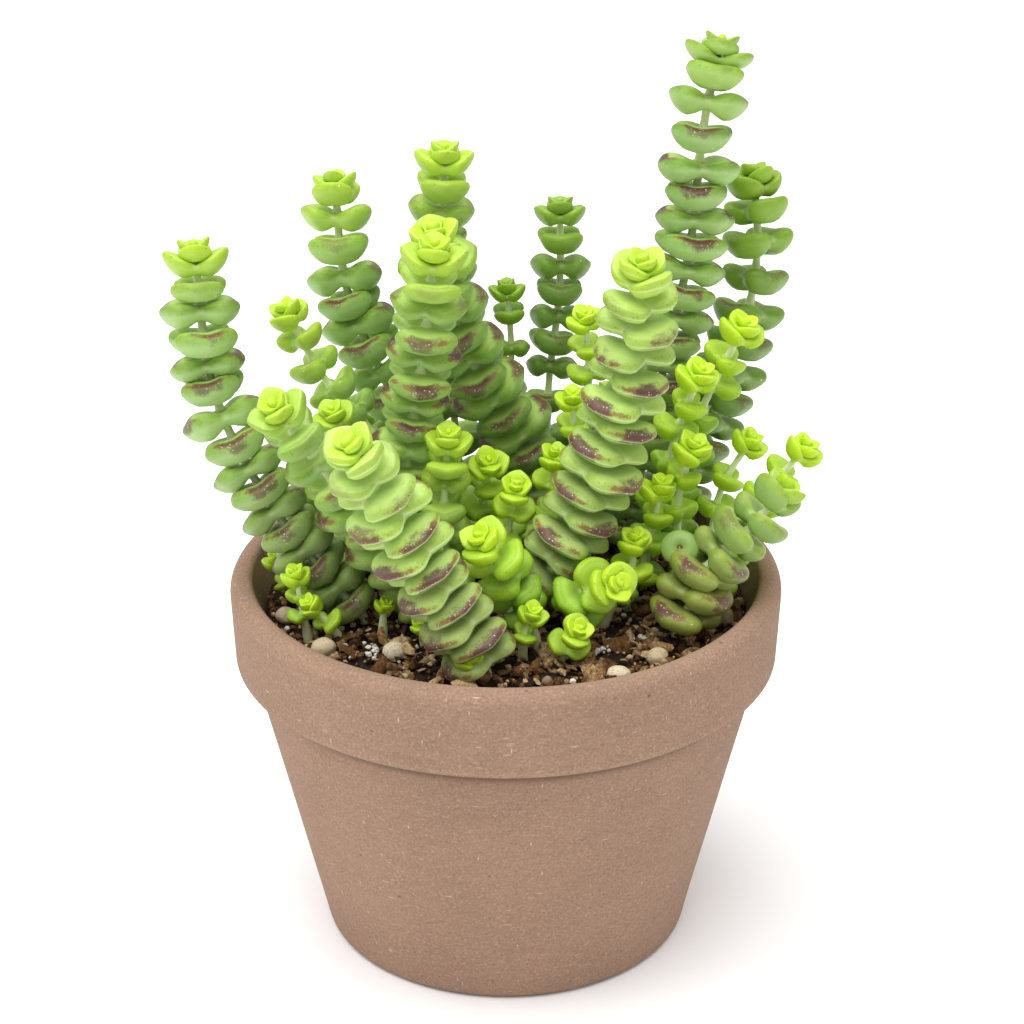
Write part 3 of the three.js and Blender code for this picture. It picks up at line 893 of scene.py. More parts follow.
def arc(
    radius: float, height: float, bend: float, start: float, end: float, steps: int
) -> list[tuple[float, float]]:
    """Gives points of an arc in the profile plane.

    Args:
        radius: Distance of the arc's centre from the axis.
        height: Height of the arc's centre.
        bend: The arc's own radius.
        start: Where it starts, in degrees from the outward direction.
        end: Where it ends.
        steps: How many pieces it has.

    Returns:
        Pairs of distance from the axis and height.
    """
    angles = [math.radians(mix(start, end, i / steps)) for i in range(steps + 1)]
    return [(radius + bend * math.cos(a), height + bend * math.sin(a)) for a in angles]


def spaced(start: Sequence[float], end: Sequence[float], parts: int) -> list[tuple[float, float]]:
    """Gives the profile points that cut a straight line into equal parts, without its ends.

    Args:
        start: The line's first point, as distance and height.
        end: Its last point.
        parts: How many parts it is cut into.

    Returns:
        The points between.
    """
    shares = [i / parts for i in range(1, parts)]
    return [(mix(start[0], end[0], share), mix(start[1], end[1], share)) for share in shares]


def turned_shape(profile: Sequence[tuple[float, float]], steps: int) -> bmesh.types.BMesh:
    """Turns a profile round the Z axis into a closed shape.

    Args:
        profile: Points from the axis round to the axis again, as distance and height.
        steps: How many pieces go round.

    Returns:
        The shape, with its faces pointing out.
    """
    shape = bmesh.new()
    points = [shape.verts.new((radius, 0.0, height)) for radius, height in profile]
    edges = [shape.edges.new(pair) for pair in zip(points, points[1:])]
    bmesh.ops.spin(
        shape,
        geom=points + edges,
        axis=(0, 0, 1),
        cent=(0, 0, 0),
        angle=2 * math.pi,
        steps=steps,
        use_merge=True,
    )
    bmesh.ops.remove_doubles(shape, verts=shape.verts, dist=0.001)
    bmesh.ops.recalc_face_normals(shape, faces=shape.faces)
    return shape


@dataclass
class Pot:
    """The clay pot: tapered wall, floor with drain holes, and a deep rim with a round lip."""

    height: float = 71.0
    rim_radius: float = 50.0
    rim_foot_radius: float = 49.4
    rim_depth: float = 16.2
    rim_step: float = 2.8
    rim_edge_round: float = 0.8
    lip_round: float = 2.8
    lip_inner_round: float = 1.2
    wall: float = 4.2
    base_radius: float = 34.0
    base_round: float = 2.2
    floor: float = 6.0
    drain_radius: float = 3.5
    drain_reach: float = 16.0
    drain_angles: tuple[float, ...] = (90.0, 210.0, 330.0)
    drain_segments: int = 32
    step_corner: float = 0.5
    step_slope: float = 0.1
    rim_flare_foot: float = 1.0
    inner_heights: tuple[float, ...] = (66.0, 60.0, 45.0, 30.0, 15.0)
    steps: int = 144
    unevenness: float = 0.1
    swell_waves: float = 0.045

    @property
    def rim_foot(self) -> float:
        """The height of the rim's lower edge."""
        return self.height - self.rim_depth

    def inner_radius(self, height: float) -> float:
        """Gives the inner wall's radius at a height."""
        top = self.rim_radius - self.wall
        foot = self.base_radius - self.wall
        return mix(foot, top, (height - self.floor) / (self.height - self.floor))

    def profile(self) -> list[tuple[float, float]]:
        """Gives the pot's profile from the middle of its underside up the outside and down the inside.

        Returns:
            Pairs of distance from the axis and height.
        """
        foot = self.rim_foot
        body_top = self.rim_foot_radius - self.rim_step
        base = self.base_round
        edge = self.rim_edge_round
        lip = self.lip_round
        inner = self.lip_inner_round
        lean = math.degrees(math.atan2(body_top - self.base_radius, foot - base))
        flare = (self.rim_foot_radius, foot + self.rim_flare_foot)
        lip_foot = (self.rim_radius, self.height - lip)
        return [
            (0.0, 0.0),
            *arc(self.base_radius - base, base, base, start=-90, end=-lean, steps=7),
            *spaced((self.base_radius, base), (body_top, foot), parts=8),
            (body_top - self.step_slope, foot - self.step_corner),
            (body_top + self.step_corner, foot),
            *arc(self.rim_foot_radius - edge, foot + edge, edge, start=-90, end=0, steps=4),
            *spaced(flare, lip_foot, parts=4),
            *arc(self.rim_radius - lip, self.height - lip, lip, start=0, end=80, steps=9),
            *arc(self.rim_radius - self.wall + inner, self.height - inner, inner, start=90, end=180, steps=4),
            *[(self.inner_radius(z), z) for z in self.inner_heights],
            (self.inner_radius(self.floor), self.floor),
            (0.0, self.floor),
        ]

    def build(self, material: bpy.types.Material) -> bpy.types.Object:
        """Makes the pot.

        Args:
            material: The clay.

        Returns:
            The dressed pot.
        """
        shape = turned_shape(self.profile(), self.steps)
        for vert in shape.verts:
            out = Vector((vert.co.x, vert.co.y, 0.0))
            if out.length > 1.0 and vert.co.z > self.base_round:
                swell = noise.noise(vert.co * self.swell_waves) * self.unevenness
                vert.co += out.normalized() * swell
        pot = finish_mesh("pot_turned", shape, material)
        self.drill(pot)
        return seat(pot, "clay", "pot")

    def drill(self, pot: bpy.types.Object) -> None:
        """Cuts the drain holes through the floor.

        Args:
            pot: The pot, whose mesh is replaced by the cut one.
        """
        cutter_shape = bmesh.new()
        for angle in self.drain_angles:
            turn = math.radians(angle)
            middle = Vector((math.cos(turn), math.sin(turn), 0)) * self.drain_reach
            middle.z = self.floor / 2
            bmesh.ops.create_cone(
                cutter_shape,
                cap_ends=True,
                segments=self.drain_segments,
                radius1=self.drain_radius,
                radius2=self.drain_radius,
                depth=self.floor + 2,
                matrix=Matrix.Translation(middle),
            )
        cutter = finish_mesh("drain_cutter", cutter_shape, pot.data.materials[0])
        cut = pot.modifiers.new("drain", "BOOLEAN")
        cut.operation = "DIFFERENCE"
        cut.solver = "EXACT"
        cut.object = cutter
        whole = pot.evaluated_get(bpy.context.evaluated_depsgraph_get())
        drilled = bpy.data.meshes.new_from_object(whole)
        pot.modifiers.remove(cut)
        pot.data = drilled
        bpy.data.objects.remove(cutter)


@dataclass
class Crumbs:
    """One kind of loose crumb: how many, how large, and what shape.

    Their lengths run from least to most, the more of them short the higher skew is. long and flat stretch
    them, and sunk and proud are how high their middles lie, in half lengths. in_spots of them lie round the
    spots, which hold a place and a spread each.
    """

    name: str
    slot: str
    count: int
    least: float
    most: float
    seed: int
    skew: float = 1.6
    long: float = 1.0
    flat: float = 0.8
    narrowest: float = 0.7
    rough: float = 0.3
    lump_waves: float = 1.3
    detail: int = 1
    tone: Range = (0.0, 1.0)
    tilts: tuple[float, float] = (0.5, 0.4)
    sunk: float = 0.0
    proud: float = 0.7
    smooth: bool = False
    spots: tuple[tuple[float, float, float], ...] = ()
    in_spots: int = 0

    def grow(
        self,
        shape: bmesh.types.BMesh,
        tone: bmesh.types.BMLayerItem,
        middle: Vector,
        size: float,
        draw: random.Random,
    ) -> None:
        """Adds one crumb.

        Args:
            shape: The shape that holds all crumbs of this kind.
            tone: Its layer for the grain attribute.
            middle: The crumb's place.
            size: Half its length.
            draw: The seeded source of chance.
        """
        turn = Matrix.Rotation(draw.uniform(0, 2 * math.pi), 4, "Z")
        about_x = Matrix.Rotation(draw.gauss(0, self.tilts[0]), 4, "X")
        tilt = about_x @ Matrix.Rotation(draw.gauss(0, self.tilts[1]), 4, "Y")
        wide = draw.uniform(self.narrowest, 1.0)
        stretch = Matrix.Diagonal((size * self.long, size * wide, size * self.flat, 1.0))
        made = bmesh.ops.create_icosphere(shape, subdivisions=self.detail, radius=1.0)["verts"]
        offset = Vector((draw.uniform(-90, 90), draw.uniform(-90, 90), draw.uniform(-90, 90)))
        mark = Vector((draw.uniform(*self.tone), draw.random(), 0))
        for vert in made:
            vert.co *= 1 + self.rough * noise.noise(vert.co * self.lump_waves + offset) * 2
            vert.co = (turn @ tilt @ stretch) @ vert.co + middle
            vert[tone] = mark


@dataclass
class PottingMix:
    """The potting mix: a lumpy bed in the pot with loose bark, peat, grit and perlite on it."""

    pot: Pot
    level: float = 63.8
    # The level that the heights in the tables of pebbles and stems were read for
    table_level: float = 65.2
    coarse: float = 0.4
    coarse_waves: tuple[float, float] = (0.83, 0.71)
    coarse_starts: tuple[float, float] = (1.3, -0.4)
    fine: float = 0.24
    fine_waves: tuple[float, float] = (1.7, -1.3)
    fine_start: float = 2.1
    crown: float = 0.5
    crown_reach: float = 44.0
    highest: float = 1.0
    crumbling: float = 0.75
    crumb_waves: float = 0.55
    crumb_fractal: tuple[float, float, int] = (1.0, 2.0, 4)
    sink: float = 0.3
    tones: Range = (0.05, 0.5)
    clearance: float = 0.3
    wall_gap: float = 0.4
    rings: int = 46
    steps: int = 128
    seed: int = 7

    def surface(self, x: float, y: float) -> float:
        """Gives the height of the bed at a place, as a crown with coarse and fine waves.

        Args:
            x: How far the place lies to the right.
            y: How far it lies back.

        Returns:
            The height.
        """
        coarse = self.coarse * math.sin(x * self.coarse_waves[0] + self.coarse_starts[0])
        coarse *= math.cos(y * self.coarse_waves[1] + self.coarse_starts[1])
        fine = self.fine * math.sin(x * self.fine_waves[0] + y * self.fine_waves[1] + self.fine_start)
        crown = self.crown * (1 - (x * x + y * y) / self.crown_reach**2)
        return self.level + (coarse + fine + crown)

    def bed(self, material: bpy.types.Material) -> bpy.types.Object:
        """Makes the bed that fills the pot.

        Args:
            material: The mix.

        Returns:
            The dressed bed.
        """
        edge = self.pot.inner_radius(self.level) - self.clearance
        foot = self.pot.inner_radius(self.pot.floor) - self.clearance
        bottom = self.pot.floor + self.clearance
        profile = [(edge * i / self.rings, self.level) for i in range(self.rings + 1)]
        profile += [*spaced((edge, self.level), (foot, bottom), parts=4), (foot, bottom), (0.0, bottom)]
        shape = turned_shape(profile, self.steps)
        tone = shape.verts.layers.float_vector.new("grain")
        for vert in shape.verts:
            if vert.co.z > self.level - 1:
                rough = noise.fractal(vert.co * self.crumb_waves, *self.crumb_fractal)
                vert.co.z = self.surface(vert.co.x, vert.co.y) + self.crumbling * rough - self.sink
            vert[tone] = Vector((mix(*self.tones, chance(vert.co.x, vert.co.y)), 0.5, 0))
        bed = finish_mesh("mix_bed", shape, material)
        return seat(bed, "potting_mix", "soil")

    def scatter(self, crumbs: Crumbs, material: bpy.types.Material) -> bpy.types.Object:
        """Strews one kind of crumb over the bed.

        Args:
            crumbs: What is strewn.
            material: Its finish.

        Returns:
            The dressed crumbs as one piece.
        """
        draw = random.Random(self.seed + crumbs.seed)
        shape = bmesh.new()
        tone = shape.verts.layers.float_vector.new("grain")
        edge = self.pot.inner_radius(self.level)
        for number in range(crumbs.count):
            size = mix(crumbs.least, crumbs.most, draw.random() ** crumbs.skew) / 2
            if crumbs.spots and number < crumbs.in_spots:
                x0, y0, spread = crumbs.spots[number % len(crumbs.spots)]
                x = x0 + draw.gauss(0, spread)
                y = y0 + draw.gauss(0, spread)
            else:
                reach = (edge - size - self.wall_gap) * math.sqrt(draw.random())
                turn = draw.uniform(0, 2 * math.pi)
                x = reach * math.cos(turn)
                y = reach * math.sin(turn)
            if math.hypot(x, y) > edge - size:
                continue
            height = self.surface(x, y) + size * draw.uniform(crumbs.sunk, crumbs.proud)
            crumbs.grow(shape, tone, Vector((x, y, height)), size, draw)
        piece = finish_mesh(crumbs.name, shape, material, smooth=crumbs.smooth)
        return seat(piece, crumbs.slot)


@dataclass
class Pebble:
    """A pebble that lies in the mix."""

    name: str
    at: tuple[float, float, float]
    half: tuple[float, float, float]
    turn: float
    tone: float
    wear_highlight: float = 0.14
    wear_level: float = 0.5
    wear_swing: float = 0.9
    wear_waves: float = 1.1
    grain_height: float = 0.02
    grain_waves: float = 7.0
    detail: int = 4

    def build(self, material: bpy.types.Material, drop: float, seed: int) -> bpy.types.Object:
        """Makes the pebble.

        Args:
            material: The stone.
            drop: How far the listed height stands over the real one.
            seed: What makes this pebble unlike the others.

        Returns:
            The dressed pebble.
        """
        shape = bmesh.new()
        tone = shape.verts.layers.float_vector.new("grain")
        bmesh.ops.create_icosphere(shape, subdivisions=self.detail, radius=1.0)
        offset = Vector((seed * 7.1, seed * 3.7, seed * 5.3))
        for vert in shape.verts:
            swell = self.wear_swing * noise.noise(vert.co * self.wear_waves + offset)
            worn = 1 - self.wear_highlight * (self.wear_level - swell)
            grain = self.grain_height * noise.noise(vert.co * self.grain_waves + offset)
            vert.co = Vector([c * h * (worn + grain) for c, h in zip(vert.co, self.half)])
            vert[tone] = Vector((self.tone, 0.5, 0))
        lowered = Matrix.Translation(Vector(self.at) - Vector((0, 0, drop)))
        place = lowered @ Matrix.Rotation(math.radians(self.turn), 4, "Z")
        bmesh.ops.transform(shape, matrix=place, verts=shape.verts)
        return seat(finish_mesh(self.name + "_worn", shape, material), "pebble", self.name)


class Axis:
    """The centre line of a stem, from its root in the mix to its tip."""

    steps: int = 16

    def __init__(self, guides: Sequence[Vector]) -> None:
        """Draws a smooth curve through the guides.

        Args:
            guides: The points it passes, in millimetres.
        """
        first = guides[0] * 2 - guides[1]
        last = guides[-1] * 2 - guides[-2]
        knots = [first, *guides, last]
        fine = []
        for i in range(len(guides) - 1):
            fine += [self.between(knots[i : i + 4], j / self.steps) for j in range(self.steps)]
        fine.append(guides[-1].copy())
        self.fine = fine
        self.along = [0.0]
        for low, high in zip(fine, fine[1:]):
            self.along.append(self.along[-1] + (high - low).length)
        self.length = self.along[-1]
        count = math.ceil(self.length)
        self.line = np.array([self.point(self.length * i / count) for i in range(count + 1)])

    @staticmethod
    def between(knots: Sequence[Vector], share: float) -> Vector:
        """Gives a point of the centripetal curve between the two middle ones of four knots.

        Args:
            knots: Four points in a row.
            share: How far from the second to the third.

        Returns:
            The point.
        """
        before, start, end, after = knots
        spans = ((before, start), (start, end), (end, after))
        gap0, gap1, gap2 = (math.sqrt((b - a).length) for a, b in spans)
        leave = (start - before) / gap0 - (end - before) / (gap0 + gap1) + (end - start) / gap1
        arrive = (end - start) / gap1 - (after - start) / (gap1 + gap2) + (after - end) / gap2
        leave *= gap1
        arrive *= gap1
        square = -3 * start + 3 * end - 2 * leave - arrive
        cube = 2 * start - 2 * end + leave + arrive
        return start + leave * share + square * share**2 + cube * share**3

    def point(self, s: float) -> Vector:
        """Gives the point at a distance from the root.

        Args:
            s: The distance.

        Returns:
            The point.
        """
        place = min(max(s, 0.0), self.length)
        i = 1
        while i < len(self.fine) - 1 and self.along[i] < place:
            i += 1
        share = (place - self.along[i - 1]) / (self.along[i] - self.along[i - 1])
        return self.fine[i - 1].lerp(self.fine[i], share)

    def bearing(self, s: float) -> Bearing:
        """Gives the stem's direction at a distance, with two directions across it turned least from X and Y.

        Args:
            s: The distance from the root.

        Returns:
            The bearing there.
        """
        up = (self.point(s + 1) - self.point(s - 1)).normalized()
        tilt = 1 / (1 + up.z)
        across = Vector((1 - up.x * up.x * tilt, -up.x * up.y * tilt, -up.x))
        along = Vector((-up.x * up.y * tilt, 1 - up.y * up.y * tilt, -up.y))
        return Bearing(self.point(s), up, across, along)


@dataclass
class Bearing:
    """A place on a stem and the directions there."""

    centre: Vector
    up: Vector
    across: Vector
    along: Vector

    def place(self, angle: float, reach: float, rise: float) -> Vector:
        """Gives the point at an angle round the stem, a reach out from it and a rise along it."""
        out = self.across * math.cos(angle) + self.along * math.sin(angle)
        return self.centre + out * reach + self.up * rise

    def nodded(self, angle: float) -> Bearing:
        """Gives the same place with its directions tipped back from the front by an angle in degrees."""
        tip = Matrix.Rotation(math.radians(-angle), 3, "X")
        return Bearing(self.centre, tip @ self.up, tip @ self.across, tip @ self.along)


@dataclass(frozen=True)
class Contour:
    """Where a ring of a leaf pair's skin lies, at the tip, at three places between, and at the notch.

    share is how far out it lies of the leaf's outline, and rise its height in millimetres on a pair 15 mm
    across.
    """

    share: tuple[float, ...]
    rise: tuple[float, ...]


@dataclass(frozen=True)
class SkinRing:
    """One ring of a leaf pair's skin, in each of the three forms that a leaf of this plant takes.

    side runs from -1 on the underside through 0 at the rim to 1 on top, and cover is 0 on the bare stem.
    plump is a free leaf, full above and below. plated is a leaf in a tight stack, flat above and sharp at
    the rim. cupped is a young leaf, full outside and hollow inside, with a rim that falls to the notch.
    """

    side: float
    cover: float
    plump: Contour
    plated: Contour
    cupped: Contour


KEY_ANGLES = (0.0, 22.0, 42.0, 62.0, 90.0)
FUSED_OUTLINE = (1.0, 0.97, 1.0, 0.99, 0.64)
FREE_OUTLINE = (1.0, 0.98, 1.0, 0.96, 0.44)
CUPPED_OUTLINE = (1.0, 0.95, 0.93, 0.86, 0.52)
SKIN_RINGS = (
    SkinRing(
        -0.85, 0.6,
        Contour((0.24, 0.24, 0.25, 0.27, 0.42), (-1.2, -1.25, -1.3, -1.2, -0.7)),
        Contour((0.22, 0.22, 0.23, 0.25, 0.40), (-1.2, -1.3, -1.3, -1.2, -0.9)),
        Contour((0.22, 0.22, 0.23, 0.24, 0.28), (-1.0, -1.0, -1.0, -1.0, -0.9)),
    ),
    SkinRing(
        -0.6, 1.0,
        Contour((0.44, 0.45, 0.46, 0.48, 0.54), (-2.7, -2.6, -2.4, -1.8, -1.0)),
        Contour((0.60, 0.62, 0.66, 0.68, 0.74), (-1.6, -1.7, -1.75, -1.6, -1.15)),
        Contour((0.52, 0.52, 0.53, 0.54, 0.56), (-1.5, -1.5, -1.5, -1.35, -1.0)),
    ),
    SkinRing(
        -0.3, 1.0,
        Contour((0.84, 0.82, 0.80, 0.80, 0.82), (-1.7, -1.7, -1.5, -1.0, -0.5)),
        Contour((0.90, 0.90, 0.91, 0.92, 0.93), (-1.15, -1.2, -1.25, -1.1, -0.8)),
        Contour((0.82, 0.82, 0.83, 0.84, 0.84), (-0.6, -0.65, -0.7, -0.7, -0.6)),
    ),
    SkinRing(
        0.0, 1.0,
        Contour((1.03, 1.0, 1.0, 1.0, 1.0), (0.0, 0.15, 0.25, 0.2, 0.05)),
        Contour((1.05, 1.01, 1.01, 1.01, 1.0), (-0.6, -0.55, -0.5, -0.45, -0.35)),
        Contour((1.0, 0.99, 0.98, 0.97, 0.95), (0.9, 0.75, 0.55, 0.25, -0.1)),
    ),
    SkinRing(
        0.16, 1.0,
        Contour((0.965, 0.965, 0.965, 0.965, 0.96), (0.7, 1.15, 1.35, 1.1, 0.35)),
        Contour((0.975, 0.965, 0.965, 0.965, 0.96), (0.1, 0.35, 0.45, 0.35, 0.05)),
        Contour((1.05, 0.98, 0.96, 0.95, 0.92), (2.6, 2.4, 1.8, 0.9, 0.1)),
    ),
    SkinRing(
        0.32, 1.0,
        Contour((0.83, 0.85, 0.86, 0.86, 0.84), (1.15, 1.75, 2.05, 1.7, 0.55)),
        Contour((0.80, 0.83, 0.84, 0.84, 0.84), (0.9, 1.25, 1.4, 1.2, 0.45)),
        Contour((0.93, 0.87, 0.85, 0.84, 0.80), (2.75, 2.6, 1.95, 1.05, 0.2)),
    ),
    SkinRing(
        0.6, 1.0,
        Contour((0.52, 0.55, 0.58, 0.60, 0.62), (1.45, 1.9, 2.15, 1.7, 0.6)),
        Contour((0.52, 0.55, 0.58, 0.60, 0.62), (1.2, 1.4, 1.5, 1.25, 0.5)),
        Contour((0.64, 0.62, 0.62, 0.60, 0.58), (2.3, 1.9, 1.5, 0.9, 0.3)),
    ),
    SkinRing(
        0.85, 0.8,
        Contour((0.24, 0.25, 0.26, 0.28, 0.36), (1.1, 1.15, 1.15, 0.95, 0.6)),
        Contour((0.24, 0.25, 0.26, 0.28, 0.36), (1.0, 1.05, 1.05, 0.9, 0.5)),
        Contour((0.26, 0.26, 0.26, 0.27, 0.30), (0.8, 0.8, 0.8, 0.7, 0.4)),
    ),
)


@dataclass(frozen=True)
class BudRing:
    """One ring of the bud: its half widths and its rise as shares of the bud's size, and its side."""

    wide: float
    narrow: float
    rise: float
    side: float


BUD_RINGS = (
    BudRing(0.6, 0.55, -0.45, -0.8),
    BudRing(1.0, 0.85, 0.05, -0.5),
    BudRing(1.08, 0.8, 0.75, -0.2),
    BudRing(0.78, 0.42, 1.25, 0.0),
    BudRing(0.4, 0.06, 1.05, 0.3),
)


@dataclass(frozen=True)
class SkinLoop:
    """A finished ring of skin: its points, the leaf attribute at each, and its growth and form."""

    points: list[Vector]
    marks: list[Vector]
    growth: Vector
    form: Vector


@dataclass
class Pair:
    """Two leaves fused round the stem."""

    reach: float
    lift: float
    step: int
    turn: float
    s: float
    bearing: Bearing
    luck: float
    rooms: list[float] = field(default_factory=lambda: [1.0, 1.0])
    depth: float = 1.0


@dataclass
class LeafHabit:
    """How the leaves of this plant grow: the sizes that every stem shares."""

    full_reach: float = 7.5
    stem_radius: float = 1.1
    stem_taper: float = 0.45
    slender: float = 0.72
    root_depth: float = 5.0
    lowest_pair: float = 3.4
    pair_foot: float = -1.35
    collar_height: float = 0.35
    pair_top: float = 0.9
    crown_depths: tuple[float, ...] = (0.1, 0.2, 0.33)
    pair_sizes: tuple[float, ...] = (0.36, 0.64, 0.86, 0.95, 1.0)
    first_width: float = 1.16
    pair_lifts: tuple[float, ...] = (1.0, 0.6, 0.32, 0.14, 0.05, 0.0)
    fine_lifts: tuple[float, ...] = (0.0, 0.1, 0.2, 0.14, 0.05, 0.0)
    open_youths: tuple[float, ...] = (1.0, 0.85, 0.45, 0.12, 0.03, 0.0)
    closed_youths: tuple[float, ...] = (1.0, 1.0, 0.9, 0.45, 0.15, 0.0)
    blush_from: float = 2.0
    blush_steps: float = 4.0
    green_age: float = 0.3
    upright: float = 0.75
    turn_play: float = 9.0
    size_play: float = 0.05
    room_step: float = 0.04
    least_room: float = 0.24
    bare_room: float = 0.5
    room_ease: float = 0.4
    fused_from: float = 5.0
    fused_by: float = 9.0
    top_height: float = 1.75
    belly_depth: float = 2.3
    least_depth: float = 0.95
    most_depth: float = 1.45
    leaf_gap: float = 0.35
    crowded: float = 24.0
    # The plain leaf's outline, angles and heights, at its tip and at its sides
    outline: tuple[float, float] = (1.0, 0.93)
    outline_angles: tuple[float, float] = (0.0, 52.0)
    edge_rise: tuple[float, float] = (1.0, 1.7)
    belly_drop: tuple[float, float] = (1.6, 1.0)
    belly_reach: float = 0.64
    belly_neck: float = 1.3
    edge_neck: float = 1.6
    young_plumpness: float = 0.6
    fused_plating: float = 0.15
    closed_width: float = 0.88
    closed_height: float = 1.2
    stem_end: float = 0.9
    oldest_step: float = 15.0
    outline_play: float = 0.04
    skin_neck: float = 1.12
    notch_lift: float = 0.35
    crowded_height: float = 0.8
    droop_play: float = 0.12
    bud_sizes: Range = (0.065, 0.085)
    rim_crease: float = 0.12
    notch_crease: float = 0.5
    notch_foot: float = -0.4
    keel_crease: float = 0.35
    keel_top: float = 0.4
    keel_tip: float = 0.999
    crease_cover: float = 0.9
    crease_play: float = 0.01


@dataclass
class Stem:
    """A leafy stem: the way it grows and the piece that it becomes.

    The higher plump is, the fuller are its free leaves. plated is how far they are flat plates in a tight
    stack, closed how far its youngest leaves close round the bud, and fresh how bright they are. nod is how
    far, in degrees, its leaves tip back from the front. listed says whether the model has a node for it.
    """

    name: str
    path: tuple[tuple[float, ...], ...]
    span: float
    gaps: tuple[float, ...]
    turn: float
    growth: Growth = Growth.GROWN
    redness: float = 0.8
    maturity: float = 1.0
    plump: float = 1.0
    plated: float = 0.0
    closed: float = 0.5
    fresh: float = 1.0
    nod: float = 0.0
    listed: bool = True
    columns: int = 16

    def sprout(self, habit: LeafHabit, level: float, drop: float, seed: int) -> None:
        """Works out the stem's centre line and its leaf pairs, from the tip down.

        Args:
            habit: The sizes that every stem shares.
            level: The height of the mix.
            drop: How far the path's heights stand over the real ones.
            seed: The stem's place in the list.
        """
        self.habit = habit
        self.seed = seed
        x, y = self.path[0]
        above = [(px, py, pz - drop) for px, py, pz in self.path[1:]]
        guides = [(x, y, level - habit.root_depth), (x, y, level), *above]
        self.axis = Axis([Vector(guide) for guide in guides])
        self.pairs: list[Pair] = []
        s = self.axis.length - habit.crown_depths[0] * self.span
        k = 0
        while s > habit.root_depth + habit.lowest_pair:
            luck = chance(seed, k)
            play = 0.0 if k < len(habit.crown_depths) else 2 * luck - 1
            size = habit.pair_sizes[min(k, len(habit.pair_sizes) - 1)] * (1 + habit.size_play * play)
            turn = math.radians(self.turn + 90 * k + habit.turn_play * play)
            lift = habit.pair_lifts[min(k, len(habit.pair_lifts) - 1)]
            self.pairs.append(Pair(size * self.span / 2, lift, k, turn, s, self.axis.bearing(s), luck))
            below = k + 1 - len(habit.crown_depths)
            if below < 0:
                s = self.axis.length - habit.crown_depths[k + 1] * self.span
            else:
                s -= self.gaps[min(below, len(self.gaps) - 1)]
            k += 1

    def plain_points(self, pair: Pair, side: int, room: float) -> list[Vector]:
        """Gives the plain corners of one leaf, on its edge and its belly.

        Args:
            pair: The leaf's pair.
            side: Which of the two leaves.
            room: The share of its full size that it grows to.

        Returns:
            Six points.
        """
        habit = self.habit
        scale = pair.reach / habit.full_reach
        least = habit.stem_radius * scale
        points = []
        for corner in (-1, 0, 1):
            i = abs(corner)
            angle = pair.turn + side * math.pi + math.radians(corner * habit.outline_angles[i])
            outline = habit.outline[i] * pair.reach * room
            rise = (habit.edge_rise[i] * scale + pair.lift * outline * habit.upright) * room
            belly = max(outline * habit.belly_reach, least * habit.belly_neck)
            points.append(pair.bearing.place(angle, max(outline, least * habit.edge_neck), rise))
            points.append(pair.bearing.place(angle, belly, -habit.belly_drop[i] * scale))
        return points

    def rings(self) -> list[SkinLoop]:
        """Gives the rings of skin from the root to the bud.

        Returns:
            The rings, from the bottom up.
        """
        habit = self.habit
        made: list[SkinLoop] = []
        turns = [math.tau * i / self.columns for i in range(self.columns)]
        first = self.pairs[0].turn

        def bare(s: float, reach: float, growth: Vector, side: float) -> None:
            """Adds a ring round the bare stem."""
            bearing = self.axis.bearing(s)
            points = [bearing.place(first + turn, reach, 0.0) for turn in turns]
            made.append(SkinLoop(points, [Vector((side, 0.0, 0.5))] * len(turns), growth, Vector((0, 0, 0))))

        crown = len(habit.crown_depths)
        grown = [pair for pair in self.pairs if pair.step < crown or max(pair.rooms) > habit.bare_room]
        for pair, below in zip(grown, grown[1:]):
            # A pair's belly fills the space down to the pair below, as far as a leaf is ever thick
            free = pair.s - below.s - habit.top_height * below.reach / habit.full_reach
            full = habit.belly_depth * pair.reach / habit.full_reach
            pair.depth = min(habit.most_depth, max(habit.least_depth, free / full))
        root = Vector((1.0, 0.5, 0.0))
        bare(0.0, habit.stem_radius, root, -1.0)
        bare(habit.root_depth, habit.stem_radius, root, -1.0)
        for pair in reversed(grown):
            scale = pair.reach / habit.full_reach
            reach = habit.stem_radius * min(1.0, mix(habit.stem_taper, 1.0, scale)) * habit.slender
            age = min(1.0, pair.step / habit.oldest_step) * self.maturity
            age = max(age, (1 - self.fresh) * habit.green_age)
            blush = min(1.0, max(0.0, pair.step - habit.blush_from) / habit.blush_steps)
            growth = Vector((age, pair.luck, self.redness * blush))
            foot = pair.s + habit.pair_foot * scale
            bare(foot - habit.collar_height * scale, reach, growth, -1.0)
            bare(foot, reach, growth, -1.0)
            youth, _, plating = self.form_of(pair)
            form = Vector((plating, youth, 0))
            for ring in SKIN_RINGS:
                made.append(SkinLoop(*self.skin(pair, ring, reach), growth, form))
            bare(pair.s + habit.pair_top * scale, reach * habit.stem_end, growth, 1.0)
        made += self.bud(grown[0])
        return made

    def form_of(self, pair: Pair) -> tuple[float, float, float]:
        """Gives how far a pair is still cupped, how far its leaves have joined, and how far it is plated.

        Args:
            pair: The pair.

        Returns:
            Three shares from 0 to 1.
        """
        habit = self.habit
        step = min(pair.step, len(habit.open_youths) - 1)
        youth = mix(habit.open_youths[step], habit.closed_youths[step], self.closed)
        joined = min(1.0, max(0.0, (pair.step - habit.fused_from) / (habit.fused_by - habit.fused_from)))
        return youth, joined, max(joined * habit.fused_plating, self.plated)

